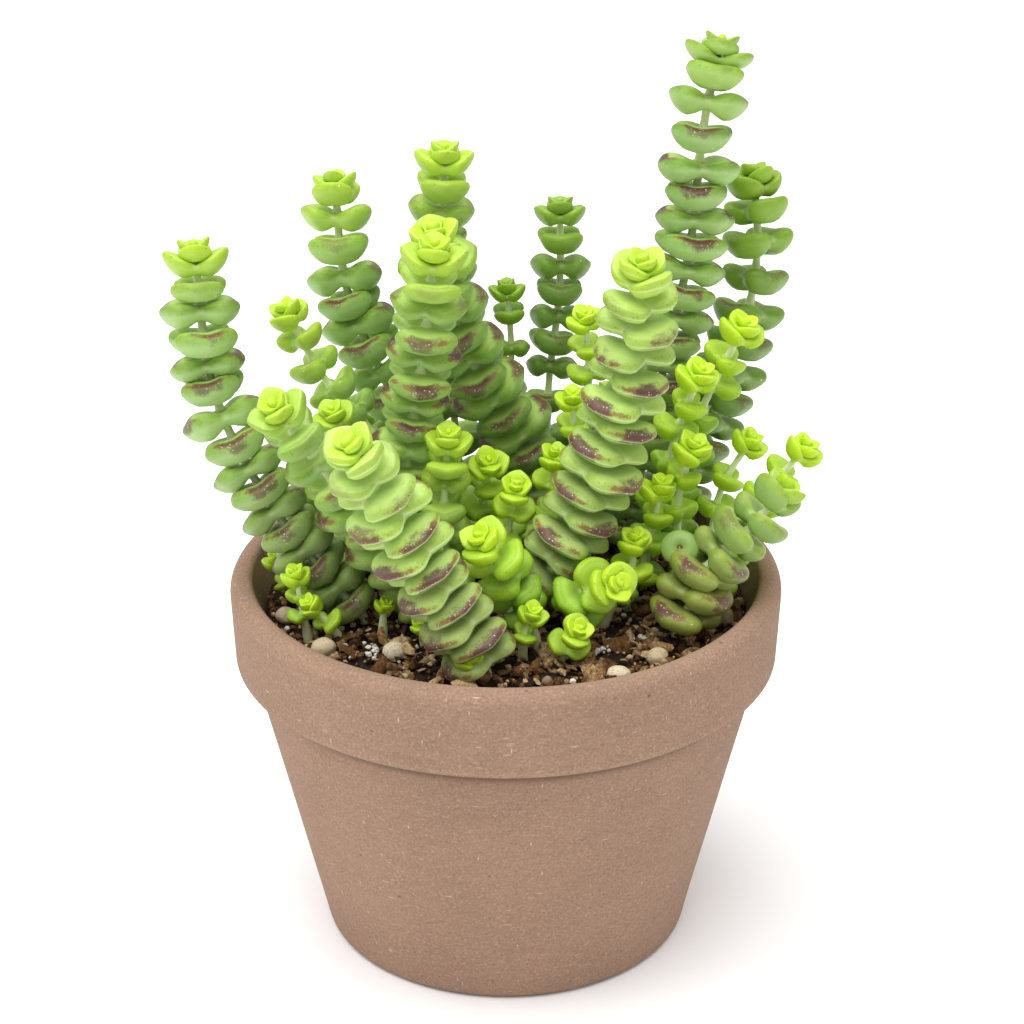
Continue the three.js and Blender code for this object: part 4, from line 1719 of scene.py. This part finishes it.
    def skin(self, pair: Pair, ring: SkinRing, least: float) -> tuple[list[Vector], list[Vector]]:
        """Gives one ring of a leaf pair's skin.

        Args:
            pair: The pair.
            ring: Which ring.
            least: The stem's radius there.

        Returns:
            The ring's points and their leaf attributes.
        """
        habit = self.habit
        points, marks = [], []
        scale = pair.reach / habit.full_reach
        depth = pair.depth if ring.side < 0 else 1.0
        lift = habit.fine_lifts[min(pair.step, len(habit.fine_lifts) - 1)]
        youth, joined, plating = self.form_of(pair)
        rooms = [mix(room, 1.0, habit.room_ease) for room in pair.rooms]
        bearing = pair.bearing.nodded(self.nod)
        cupped_width = mix(1.0, habit.closed_width, self.closed)
        cupped_height = scale**habit.young_plumpness * mix(1.0, habit.closed_height, self.closed)
        # Ring places are counted alike up a whole stem, and each pair is turned a quarter from the last
        quarter = self.columns // 4
        for column in range(self.columns):
            place = (column - quarter * pair.step) % self.columns
            around, key = self.key_of(place)
            leaf = 0 if place <= quarter or place >= self.columns - quarter else 1
            room = min(rooms) if key == 4 else rooms[leaf]
            pointing = abs(math.cos(math.radians(around)))

            play = habit.outline_play * (2 * chance(self.seed + 0.5, pair.step * self.columns + place) - 1)
            outline = mix(FREE_OUTLINE[key], FUSED_OUTLINE[key], joined)
            outline = mix(outline, CUPPED_OUTLINE[key] * cupped_width, youth) * (1 + play)
            outline *= habit.first_width if pair.step == 0 else 1.0
            share = mix(ring.plump.share[key], ring.plated.share[key], plating)
            share = mix(share, ring.cupped.share[key], youth)
            out = max(outline * pair.reach * room * share, least * habit.skin_neck)

            grown_rise = mix(ring.plump.rise[key] * self.plump * depth, ring.plated.rise[key], plating)
            grown_rise *= scale * mix(habit.crowded_height, 1.0, room)
            rise = mix(grown_rise, ring.cupped.rise[key] * cupped_height * depth, youth)
            lifted = lift * habit.upright * max(0.0, out - least)
            rise += lifted * mix(habit.notch_lift, 1.0, pointing**2)
            droop = (chance(self.seed + 0.25, pair.step * 2 + leaf) - 0.5) * habit.droop_play
            rise += droop * out * pointing
            points.append(bearing.place(pair.turn + math.radians(around), out, rise))
            marks.append(Vector((ring.side, ring.cover, pointing)))
        return points, marks

    @staticmethod
    def key_of(place: int) -> tuple[float, int]:
        """Gives a ring place's angle from the first leaf's tip, and which of the five keys it is.

        Args:
            place: A place from 0 to 15, with the leaf tips at 0 and 8.

        Returns:
            The angle in degrees and the key's number.
        """
        half = place % 8
        key = half if half <= 4 else 8 - half
        angle = KEY_ANGLES[key] if half <= 4 else 180 - KEY_ANGLES[key]
        return angle + (180 if place >= 8 else 0), key

    def bud(self, pair: Pair) -> list[SkinLoop]:
        """Gives the rings of the bud at the tip: two tiny leaves pressed together along a slit.

        Args:
            pair: The youngest open pair.

        Returns:
            The rings, from the bottom up.
        """
        size = self.span * mix(*self.habit.bud_sizes, self.closed)
        quarter_turn = pair.turn + math.pi / 2
        growth = Vector((0.0, pair.luck, 0.0))
        made = []
        for ring in BUD_RINGS:
            points, marks = [], []
            for column in range(self.columns):
                turn = math.tau * column / self.columns
                x = ring.wide * size * math.cos(turn)
                y = ring.narrow * size * math.sin(turn)
                angle = quarter_turn + math.atan2(y, x)
                points.append(pair.bearing.place(angle, math.hypot(x, y), ring.rise * size))
                marks.append(Vector((ring.side, 1.0, abs(math.cos(turn)))))
            made.append(SkinLoop(points, marks, growth, Vector((0, 1, 0))))
        return made

    def build(self, material: bpy.types.Material) -> bpy.types.Object:
        """Wraps a grid round the rings and makes the stem's piece.

        Args:
            material: The leaf finish.

        Returns:
            The dressed stem.
        """
        rings = self.rings()
        shape = bmesh.new()
        bmesh.ops.create_grid(shape, x_segments=self.columns, y_segments=len(rings) - 1, size=1.0)
        leaf = shape.verts.layers.float_vector.new("leaf")
        growth = shape.verts.layers.float_vector.new("growth")
        form = shape.verts.layers.float_vector.new("form")
        for vert in shape.verts:
            column = round((vert.co.x + 1) / 2 * self.columns) % self.columns
            loop = rings[round((vert.co.y + 1) / 2 * (len(rings) - 1))]
            vert.co = loop.points[column]
            vert[leaf] = loop.marks[column]
            vert[growth] = loop.growth
            vert[form] = loop.form
        bmesh.ops.remove_doubles(shape, verts=shape.verts, dist=1e-4)
        bmesh.ops.holes_fill(shape, edges=shape.edges, sides=self.columns)
        bmesh.ops.recalc_face_normals(shape, faces=shape.faces)
        self.sharpen(shape, leaf)
        piece = finish_mesh(self.name + "_leaves", shape, material)
        soften(piece)
        slot = "young_leaf" if self.growth is Growth.BRIGHT else "leaf"
        return seat(piece, slot, *([self.name] if self.listed else []))

    def sharpen(self, shape: bmesh.types.BMesh, leaf: bmesh.types.BMLayerItem) -> None:
        """Creases the rim of every leaf, its keel and the notch between two leaves.

        Args:
            shape: The stem's shape.
            leaf: Its layer with the leaf attribute.
        """
        habit = self.habit
        crease = shape.edges.layers.float.new("crease_edge")
        for edge in shape.edges:
            low, high = (vert[leaf] for vert in edge.verts)
            if min(low.y, high.y) < habit.crease_cover:
                continue
            on_rim = max(abs(low.x), abs(high.x)) < habit.crease_play
            on_notch = max(low.z, high.z) < habit.crease_play and min(low.x, high.x) > habit.notch_foot
            on_keel = min(low.z, high.z) > habit.keel_tip and max(low.x, high.x) < habit.keel_top
            creases = habit.rim_crease * on_rim + habit.notch_crease * on_notch
            edge[crease] = creases + habit.keel_crease * on_keel


@dataclass
class FallenLeaf:
    """A loose round leaf that rests on the stem beside it, with the small scar where it broke off."""

    name: str
    at: tuple[float, float, float]
    radius: float
    tilt: float
    turn: float
    thickness: float = 0.42
    width: float = 0.92
    scar: float = 0.2
    dent: float = 0.3
    dent_spread: float = 1.5
    age: float = 0.5
    scar_side: float = 0.3
    skin_sides: Range = (-0.6, -0.1)
    skin_tip: float = 0.4
    segments: int = 28
    bands: int = 24

    def build(self, material: bpy.types.Material) -> bpy.types.Object:
        """Makes the leaf.

        Args:
            material: The leaf finish.

        Returns:
            The dressed leaf.
        """
        shape = bmesh.new()
        leaf = shape.verts.layers.float_vector.new("leaf")
        growth = shape.verts.layers.float_vector.new("growth")
        form = shape.verts.layers.float_vector.new("form")
        bmesh.ops.create_uvsphere(shape, u_segments=self.segments, v_segments=self.bands, radius=1.0)
        for vert in shape.verts:
            out = math.hypot(vert.co.x, vert.co.y)
            on_top = vert.co.z > 0
            scarred = on_top and out < self.scar
            dent = self.dent * math.exp(-((out / self.scar / self.dent_spread) ** 2)) * on_top
            side = self.scar_side if scarred else mix(*self.skin_sides, out)
            vert[leaf] = Vector((side, 1, 1 if scarred else self.skin_tip))
            vert[growth] = Vector((self.age, 0.5, float(scarred)))
            vert[form] = Vector((0, 0, 0))
            vert.co.z = vert.co.z * self.thickness - dent
            vert.co.y *= self.width
        place = Matrix.Translation(self.at) @ Matrix.Rotation(math.radians(self.turn), 4, "Z")
        place = place @ Matrix.Rotation(math.radians(self.tilt), 4, "X") @ Matrix.Scale(self.radius, 4)
        bmesh.ops.transform(shape, matrix=place, verts=shape.verts)
        return seat(finish_mesh(self.name, shape, material), "leaf")


@dataclass
class Thicket:
    """All the stems, and the room that they leave one another."""

    stems: Sequence[Stem]
    pot: Pot
    level: float
    highest: float
    drop: float
    habit: LeafHabit = field(default_factory=LeafHabit)

    def sprout(self) -> None:
        """Grows every stem's centre line and pairs, then finds the room of each leaf."""
        for seed, stem in enumerate(self.stems):
            stem.sprout(self.habit, self.level, self.drop, seed)
        for own in self.stems:
            for pair in own.pairs:
                others = [o for o in self.stems if o is not own and self.is_near(o, pair)]
                pair.rooms = [self.room_of(own, pair, side, others) for side in (0, 1)]

    def is_near(self, other: Stem, pair: Pair) -> bool:
        """Tells whether another stem comes near a pair."""
        return nearest(other.axis.line, pair.bearing.centre) < self.habit.crowded

    def is_clear(self, point: Vector, own: Stem, others: Iterable[Stem]) -> bool:
        """Tells whether a point keeps clear of wall and mix, and is nearer its own stem than any other.

        Args:
            point: The point.
            own: The stem that it belongs to.
            others: The stems near it.

        Returns:
            Whether a leaf may reach there.
        """
        gap = self.habit.leaf_gap
        if point.z < self.level + self.highest + gap:
            return False
        wall = self.pot.inner_radius(point.z) - gap
        if point.z < self.pot.height + gap and math.hypot(point.x, point.y) > wall:
            return False
        mine = nearest(own.axis.line, point) + gap
        return all((nearest(o.axis.line, point) - gap) * own.span > mine * o.span for o in others)

    def room_of(self, own: Stem, pair: Pair, side: int, others: Sequence[Stem]) -> float:
        """Gives the share of its full size that a leaf has room for.

        Args:
            own: The leaf's stem.
            pair: Its pair.
            side: Which of the two leaves.
            others: The stems near the pair.

        Returns:
            The share, from the least room to 1.
        """
        room = 1.0
        while room > self.habit.least_room:
            if all(self.is_clear(point, own, others) for point in own.plain_points(pair, side, room)):
                return room
            room -= self.habit.room_step
        return self.habit.least_room


def nearest(line: np.ndarray, point: Vector) -> float:
    """Gives the distance from a point to the nearest point of a line.

    Args:
        line: The line's points, one in each row.
        point: The point.

    Returns:
        The distance.
    """
    apart = line - np.array(point)
    return math.sqrt(float(np.einsum("ij,ij->i", apart, apart).min()))


@dataclass(frozen=True)
class Lamp:
    """A soft square light: its place and the length of its side in metres, and its power in watts."""

    name: str
    at: Point
    size: float
    power: float

    def hang(self, target: Vector) -> None:
        """Hangs the light so that it looks at a target.

        Args:
            target: The place it looks at, in metres.
        """
        lamp = bpy.data.lights.new(self.name, "AREA")
        lamp.size = self.size
        lamp.energy = self.power
        made = bpy.data.objects.new(self.name, lamp)
        aim = target - Vector(self.at)
        made.rotation_euler = aim.to_track_quat("-Z", "Y").to_euler()
        made.location = self.at
        bpy.context.scene.collection.objects.link(made)


@dataclass
class Studio:
    """A plain pale floor, soft light and the camera of the photograph."""

    camera_at: Point = (1.11, -475.0, 300.3)
    pitch: float = 24.7
    view: float = 20.0
    sensor: float = 36.0
    floor_size: float = 6.0
    floor_tone: str = "ffffff"
    sky: float = 0.6
    target: Point = (0.0, 0.0, 0.08)
    lamps: tuple[Lamp, ...] = (
        Lamp("above", (-0.15, -0.2, 1.15), 1.3, 17.5),
        Lamp("left", (-1.1, 0.0, 0.6), 1.4, 3.4),
        Lamp("right", (1.1, 0.1, 0.6), 1.4, 2.2),
    )

    def build(self) -> None:
        """Makes the floor, the lights, the sky and the camera."""
        self.make_floor()
        for lamp in self.lamps:
            lamp.hang(Vector(self.target))
        self.make_sky()
        self.make_camera()

    def make_floor(self) -> None:
        """Lays a large pale floor that isn't part of the object."""
        shape = bmesh.new()
        bmesh.ops.create_grid(shape, x_segments=1, y_segments=1, size=self.floor_size / 2 / MM)
        material, _, shader = new_material("studio_floor", 0.0)
        shader.inputs["Base Color"].default_value = paint(self.floor_tone)
        shader.inputs["Roughness"].default_value = 1.0
        finish_mesh("studio_floor", shape, material)

    def make_sky(self) -> None:
        """Fills the room with even white light."""
        world = bpy.data.worlds.new("studio_sky")
        world.use_nodes = True
        background = world.node_tree.nodes["Background"]
        background.inputs["Color"].default_value = (1, 1, 1, 1)
        background.inputs["Strength"].default_value = self.sky
        bpy.context.scene.world = world
        bpy.context.scene.view_settings.view_transform = "Standard"

    def make_camera(self) -> None:
        """Places the camera at the photograph's angle."""
        lens = bpy.data.cameras.new("camera")
        lens.sensor_width = self.sensor
        lens.lens = self.sensor / 2 / math.tan(math.radians(self.view / 2))
        made = bpy.data.objects.new("camera", lens)
        made.location = Vector(self.camera_at) * MM
        made.rotation_euler = (math.radians(90 - self.pitch), 0, 0)
        bpy.context.scene.collection.objects.link(made)
        bpy.context.scene.camera = made


LEAF_FINISHES = {
    Growth.GROWN: LeafFinish("leaf_grown", "b2d266", "9fc072", "5c860a", "b4d41e", "8e9a60"),
    # The stems at the back take this darker finish, which paints shade into their leaves
    Growth.SHADED: LeafFinish("leaf_shaded", "86a844", "7c9c4a", "507808", "8cb01e", "68803e"),
    Growth.BRIGHT: LeafFinish("leaf_bright", "b4da62", "8eb83c", "80ae0e", "bcdc14", "96b258"),
    Growth.WEATHERED: LeafFinish("leaf_weathered", "b0cc70", "86a652", "7a941e", "aacc22", "868c42", 0.9),
}
BED_FINISH = GrainFinish("mix_bed", "1a100a", "48301f", "9a7850", fleck_share=0.12)
BARK_FINISH = GrainFinish("bark", "1e120a", "80582f", "dcbc8e", 0.0007, 0.22)
PERLITE_FINISH = GrainFinish("perlite", "b9b2a4", "e4dfd2", "fbf9f4", 0.0001)
PEBBLE_FINISH = GrainFinish("pebble", "8d7a5e", "cbb996", "ece2cc", 0.00012, 0.2)

# Each kind of crumb and its finish. A kind has its slot, its count, its least and most length and its seed.
CRUMBS = (
    (
        Crumbs(
            "bark_lumps", "potting_mix", 240, 1.6, 4.2, 1, long=1.2, flat=0.75, rough=0.5, detail=2,
            tone=(0.0, 0.9), sunk=-0.2, proud=0.5, smooth=True,
        ),
        BARK_FINISH,
    ),
    (Crumbs("peat_crumbs", "potting_mix", 1500, 0.8, 2.0, 2, rough=0.5, proud=1.0), BARK_FINISH),
    (
        Crumbs("fine_crumbs", "potting_mix", 1600, 0.5, 1.3, 6, rough=0.5, tone=(0.1, 1.2), proud=1.8),
        BARK_FINISH,
    ),
    (
        Crumbs(
            "bark_splinters", "potting_mix", 420, 0.9, 3.0, 3, long=1.7, flat=0.25, rough=0.35,
            tone=(0.3, 1.15), proud=1.6,
        ),
        BARK_FINISH,
    ),
    (
        Crumbs(
            "perlite_grains", "pebble", 170, 0.5, 1.5, 4, rough=0.25, tone=(0.3, 1.0), sunk=0.6, proud=1.6,
            spots=((24.2, -17.0, 1.2), (-24.0, -20.0, 1.6), (17.5, -20.0, 1.6)), in_spots=42,
        ),
        PERLITE_FINISH,
    ),
    (
        Crumbs(
            "grit", "pebble", 60, 1.1, 2.6, 5, rough=0.2, detail=2, tone=(0.0, 0.8), sunk=0.3, proud=1.0,
            smooth=True,
        ),
        PEBBLE_FINISH,
    ),
)

# Each pebble's centre and half lengths, its turn in degrees and its tone
PEBBLES = (
    Pebble("pebble_left", (-39.5, -8.0, 66.4), (2.1, 1.9, 1.7), 20, 0.6),
    Pebble("pebble_front_left", (-32.0, -21.0, 66.6), (2.5, 2.1, 1.9), 50, 0.55),
    Pebble("pebble_front", (-19.5, -22.5, 66.6), (2.4, 2.1, 1.9), 0, 0.75),
    Pebble("pebble_front_right", (19.5, -30.5, 66.4), (2.3, 1.8, 1.5), 10, 0.7),
    Pebble("pebble_right", (26.5, -24.0, 66.5), (2.2, 1.7, 1.6), 35, 0.5),
    Pebble("pebble_far_right", (39.2, -8.5, 66.5), (2.3, 2.0, 1.8), 80, 0.35),
)

# Each stem passes the points of its path from the mix to its tip. Then come the span of its full pairs, the
# gaps from its first full pair down, the turn of its first pair, its growth, its redness and its maturity.
STEMS = (
    Stem(
        "stem_right_tall",
        ((22, 17), (26, 18, 88), (29, 18, 105), (33, 19, 126), (35, 19, 150), (38, 20, 166)), 15,
        (2.8, 4.6, 6, 6.2, 4.8, 4.8, 4.8, 4.8, 4.8, 4.6, 4.4, 4.4, 4.4, 5), 0, redness=1.0,
        maturity=0.85, nod=12.0, closed=0.1, fresh=0.35,
    ),
    Stem(
        "stem_right_back", ((29, 26), (34, 27, 80), (41, 28, 97), (46, 29, 119), (45, 30, 139)), 14,
        (4.3, 5.5, 7.2, 6.8, 6, 6, 5, 5), 40, Growth.SHADED, 0.5, 0.6, nod=12.0, closed=0.6,
        fresh=0.9, plump=1.1, plated=0.1,
    ),
    Stem(
        "stem_centre_right",
        ((0, -7), (3, -8, 70), (9, -10, 78), (17, -11, 98), (22, -12, 119), (23, -16, 138)), 15.5,
        (4.4, 4.6, 5, 4.8, 4.8, 4.6, 4.6, 4.6), 130, redness=1.0, plated=0.8, closed=1.0,
    ),
    Stem(
        "stem_centre", ((-18, 2), (-18, 0, 90), (-15, -1, 110), (-12, -5, 137)), 14.5,
        (4.6, 4, 5, 4.4, 5, 4.4, 4.6, 4.6, 5), 0, redness=1.0, maturity=0.85, nod=3.0, plated=0.4,
        closed=0.7,
    ),
    Stem(
        "stem_centre_back", ((-8, 35), (-10, 33, 90), (-12, 32, 120), (-11, 30, 143)), 13.5,
        (4.2, 4.8, 6, 5.4, 7), 5, redness=0.5, maturity=0.7, nod=8.0, closed=0.6, fresh=0.7,
        plump=1.1,
    ),
    Stem(
        "stem_centre_leaning",
        ((10, 26), (4, 25, 85), (-5, 20, 102), (-11, 16, 119), (-13, 12, 134)), 15.5,
        (4.4, 4.4, 4.8, 4.8, 5, 5), 100, redness=0.8, maturity=0.9, plated=0.2, closed=0.8,
    ),
    Stem(
        "stem_left_centre", ((-13, 24), (-20, 25, 92), (-29, 25, 116), (-31, 26, 139)), 14,
        (4.2, 5.4, 5.6, 5, 4.6, 4.8, 5.6), 80, redness=0.8, maturity=0.8, nod=11.0, closed=0.6,
        fresh=0.6, plump=1.15, plated=0.15,
    ),
    Stem(
        "stem_far_left", ((-25, -8), (-31, -8, 73), (-42, -6, 88), (-51, -3, 107), (-54, 0, 135)), 14.5,
        (4.4, 3.4, 5.4, 4.6, 4, 5.6, 5.4, 5, 4.4, 4.4), 8, redness=0.8, nod=7.0, closed=0.6,
        fresh=0.7, plump=1.15, plated=0.25,
    ),
    Stem(
        "stem_left_second",
        ((-13, -10), (-18, -11, 75), (-25, -13, 88), (-35, -15, 103), (-40, -19, 113)), 14,
        (5, 6.4, 5.6, 5, 4.6), 15, redness=0.9, maturity=1.3, plump=1.15, plated=0.3, closed=0.9,
    ),
    Stem(
        "stem_front_left",
        ((-3, -29), (-6, -30, 73), (-13, -32, 86), (-20, -34, 100), (-26, -40, 115)), 15.5,
        (4.2, 4.6, 4.4, 4.4, 4.2, 4.2, 4), 130, redness=1.0, maturity=1.3, plated=0.9, closed=1.0,
    ),
    Stem(
        "stem_left_small", ((-20, 14), (-24, 14, 92), (-33, 13, 104), (-40, 12, 119)), 10.5,
        (4.4, 5.6, 6, 5.8, 7), 60, redness=0.4, maturity=0.6, nod=6.0, plump=1.15,
    ),
    Stem(
        "stem_background", ((8, 37), (8, 37, 92), (10, 38, 111), (10, 38, 130)), 11.5,
        (4.6, 5, 4.8, 5, 5, 5, 7), 0, Growth.SHADED, 0.5, 0.8, nod=11.0, closed=0.1, fresh=0.5,
        plump=1.1,
    ),
    Stem(
        "stem_background_small", ((-1, 35), (1, 35, 100), (0, 34, 115)), 8.5, (4, 7, 8), 0,
        Growth.SHADED, 0.2, 0.6, nod=8.0,
    ),
    Stem(
        "stem_shoot_high", ((31, 9), (34, 9, 95), (43, 7, 118)),
        11.5, (5.6, 5, 7.5), 30, Growth.BRIGHT, 0.3, 0.6,
    ),
    Stem(
        "stem_shoot_upper", ((25, 5), (30, 5, 94), (35, 2, 111)),
        11.5, (5, 5, 7.5), 20, Growth.BRIGHT, 0.2, 0.6,
    ),
    Stem("stem_shoot_mid", ((32, -2), (31, -1, 88), (34, -3, 99)), 11, (5, 7), 50, Growth.BRIGHT, 0.1, 0.6),
    Stem(
        "stem_shoot_inner", ((22, -3), (26, -3, 80), (28, -4, 92)),
        10.5, (4.6, 6), 10, Growth.BRIGHT, 0.1, 0.6,
    ),
    Stem("stem_shoot_low", ((17, -10), (22, -11, 76), (23, -12, 85)), 9, (5,), 60, Growth.BRIGHT, 0.0, 0.6),
    Stem(
        "stem_right_leaning",
        ((30, -16), (32, -16, 71), (35, -15, 79), (43, -14, 87), (50, -12, 95)), 14.5,
        (4.4, 4.4, 4.6, 4.4, 4.2), 45, Growth.WEATHERED, 0.9, 2.2, plump=1.3, plated=0.35, closed=0.8,
    ),
    Stem(
        "stem_right_branch", ((36, -6), (41, -5, 82), (48, -4, 91), (54, -4, 99)),
        10, (5, 6), 20, Growth.BRIGHT, 0.1, 0.6,
    ),
    Stem("stem_right_thin", ((37, 6), (39, 6, 85), (45, 6, 96)), 9.5, (7, 6), 10, Growth.BRIGHT, 0.1, 0.6),
    Stem(
        "stem_front_bright", ((6, -18), (2, -19, 76), (-5, -25, 91)),
        12.5, (4.2, 4.4), 60, Growth.BRIGHT, 0.1, 0.8,
    ),
    Stem("stem_front_low", ((3, -22), (3, -24, 70), (5, -26, 77)), 7.5, (4,), 0, Growth.BRIGHT, 0.0, 0.8),
    Stem(
        "stem_front_right_low", ((10, -24), (11, -26, 70), (13, -29, 75)),
        9, (4,), 90, Growth.BRIGHT, 0.0, 0.8,
    ),
    Stem(
        "stem_front_right_side", ((11, -14), (13, -17, 75), (20, -26, 82)),
        12, (4.4,), 40, Growth.BRIGHT, 0.0, 0.8,
    ),
    Stem(
        "stem_middle_upper", ((15, 15), (15, 13, 105), (14, 11, 118)),
        9, (5, 5, 8), 30, Growth.BRIGHT, 0.1, 0.6,
    ),
    Stem("stem_middle_inner", ((9, 9), (12, 7, 92), (12, 5, 105)), 8.5, (5, 7), 0, Growth.BRIGHT, 0.1, 0.6),
    Stem("stem_middle_bright", ((4, 4), (8, 2, 86), (9, 0, 96)), 9, (5, 6), 70, Growth.BRIGHT, 0.1, 0.6),
    Stem(
        "stem_middle_left", ((-6, 8), (-4, 4, 84), (-3, -2, 95)),
        10, (4.8, 6), 20, Growth.BRIGHT, 0.1, 0.6,
    ),
    Stem(
        "stem_middle_front", ((-3, 0), (1, -4, 84), (2, -8, 93)),
        9.5, (4.6, 6), 80, Growth.BRIGHT, 0.1, 0.6,
    ),
    Stem(
        "stem_middle_column", ((-10, -3), (-11, -5, 86), (-10, -8, 103)),
        11, (3.6, 3.6, 5.4), 0, redness=0.2, maturity=0.6,
    ),
    Stem(
        "stem_left_hidden", ((-28, 5), (-29, 3, 92), (-31, 0, 104)),
        10, (5, 6.5), 30, redness=0.4, maturity=0.8,
    ),
    Stem("stem_offset_wall", ((-38, 1), (-41, 0, 71), (-42, 0, 75)), 6.5, (4,), 0, Growth.BRIGHT, 0.0, 0.8),
    Stem(
        "stem_offset_left", ((-35, -15), (-36, -16, 72), (-37, -16, 80)),
        7.5, (3.6,), 30, Growth.BRIGHT, 0.0, 0.8,
    ),
    Stem(
        "stem_offset_front", ((-29, -15), (-32, -17, 70), (-35, -19, 75)),
        8, (4,), 60, Growth.BRIGHT, 0.0, 0.8,
    ),
    Stem(
        "stem_offset_small", ((-22, -14), (-22, -14, 69), (-21, -15, 73)),
        6, (4,), 20, Growth.BRIGHT, 0.0, 0.8,
    ),
    Stem(
        "stem_offset_tiny", ((-14, -18), (-15, -18, 68), (-15, -19, 71)),
        5.5, (4,), 70, Growth.BRIGHT, 0.0, 0.8,
    ),
    Stem(
        "stem_offset_rim", ((-36, 15), (-39, 16, 72), (-42, 17, 78)),
        8, (4,), 10, Growth.BRIGHT, 0.0, 0.8,
    ),
    Stem(
        "stem_back_right", ((20, 33), (21, 34, 80), (20, 36, 94)),
        13, (4.8,), 20, redness=0.5, maturity=0.8,
    ),
    Stem(
        "stem_back_left", ((-23, 30), (-26, 33, 78), (-28, 36, 90)),
        13, (4.8,), 70, redness=0.5, maturity=0.8,
    ),
    Stem(
        "stem_back_wall", ((-32, 21), (-36, 24, 72), (-39, 26, 82)),
        10, (4.4,), 0, redness=0.4, maturity=0.8,
    ),
)

# A bud at the foot of a stem. No node of the model stands for it, and no other stem makes room for it.
SIDE_BUD = Stem(
    "side_bud", ((-5.5, -31.5), (-6, -33, 68.5), (-6.6, -34, 72.5)), 7, (4,), 40,
    Growth.BRIGHT, 0.0, 0.8, listed=False,
)
FALLEN_LEAF = FallenLeaf("fallen_leaf", (30.6, -14.5, 81.6), 3.4, 62.0, -8.0)


def main() -> None:
    """Builds the studio and every piece of the plant in order."""
    logging.basicConfig(level=logging.INFO, format="%(message)s")
    Studio().build()
    effects = Effects(specks_group(), mottle_group())
    pot = Pot()
    pot.build(ClayFinish(pot.rim_foot).material(effects))
    mix_in_pot = PottingMix(pot)
    drop = mix_in_pot.table_level - mix_in_pot.level
    mix_in_pot.bed(BED_FINISH.material(effects))
    loose = (BARK_FINISH, PERLITE_FINISH, PEBBLE_FINISH)
    finishes = {finish.name: finish.material(effects) for finish in loose}
    for crumbs, finish in CRUMBS:
        mix_in_pot.scatter(crumbs, finishes[finish.name])
    for seed, pebble in enumerate(PEBBLES):
        pebble.build(finishes[PEBBLE_FINISH.name], drop, seed)
    thicket = Thicket(STEMS, pot, mix_in_pot.level, mix_in_pot.highest, drop)
    thicket.sprout()
    SIDE_BUD.sprout(thicket.habit, thicket.level, drop, len(STEMS))
    leaves = {growth: finish.material(effects) for growth, finish in LEAF_FINISHES.items()}
    for stem in (*STEMS, SIDE_BUD):
        stem.build(leaves[stem.growth])
    FALLEN_LEAF.build(leaves[Growth.WEATHERED])


if __name__ == "__main__":
    main()
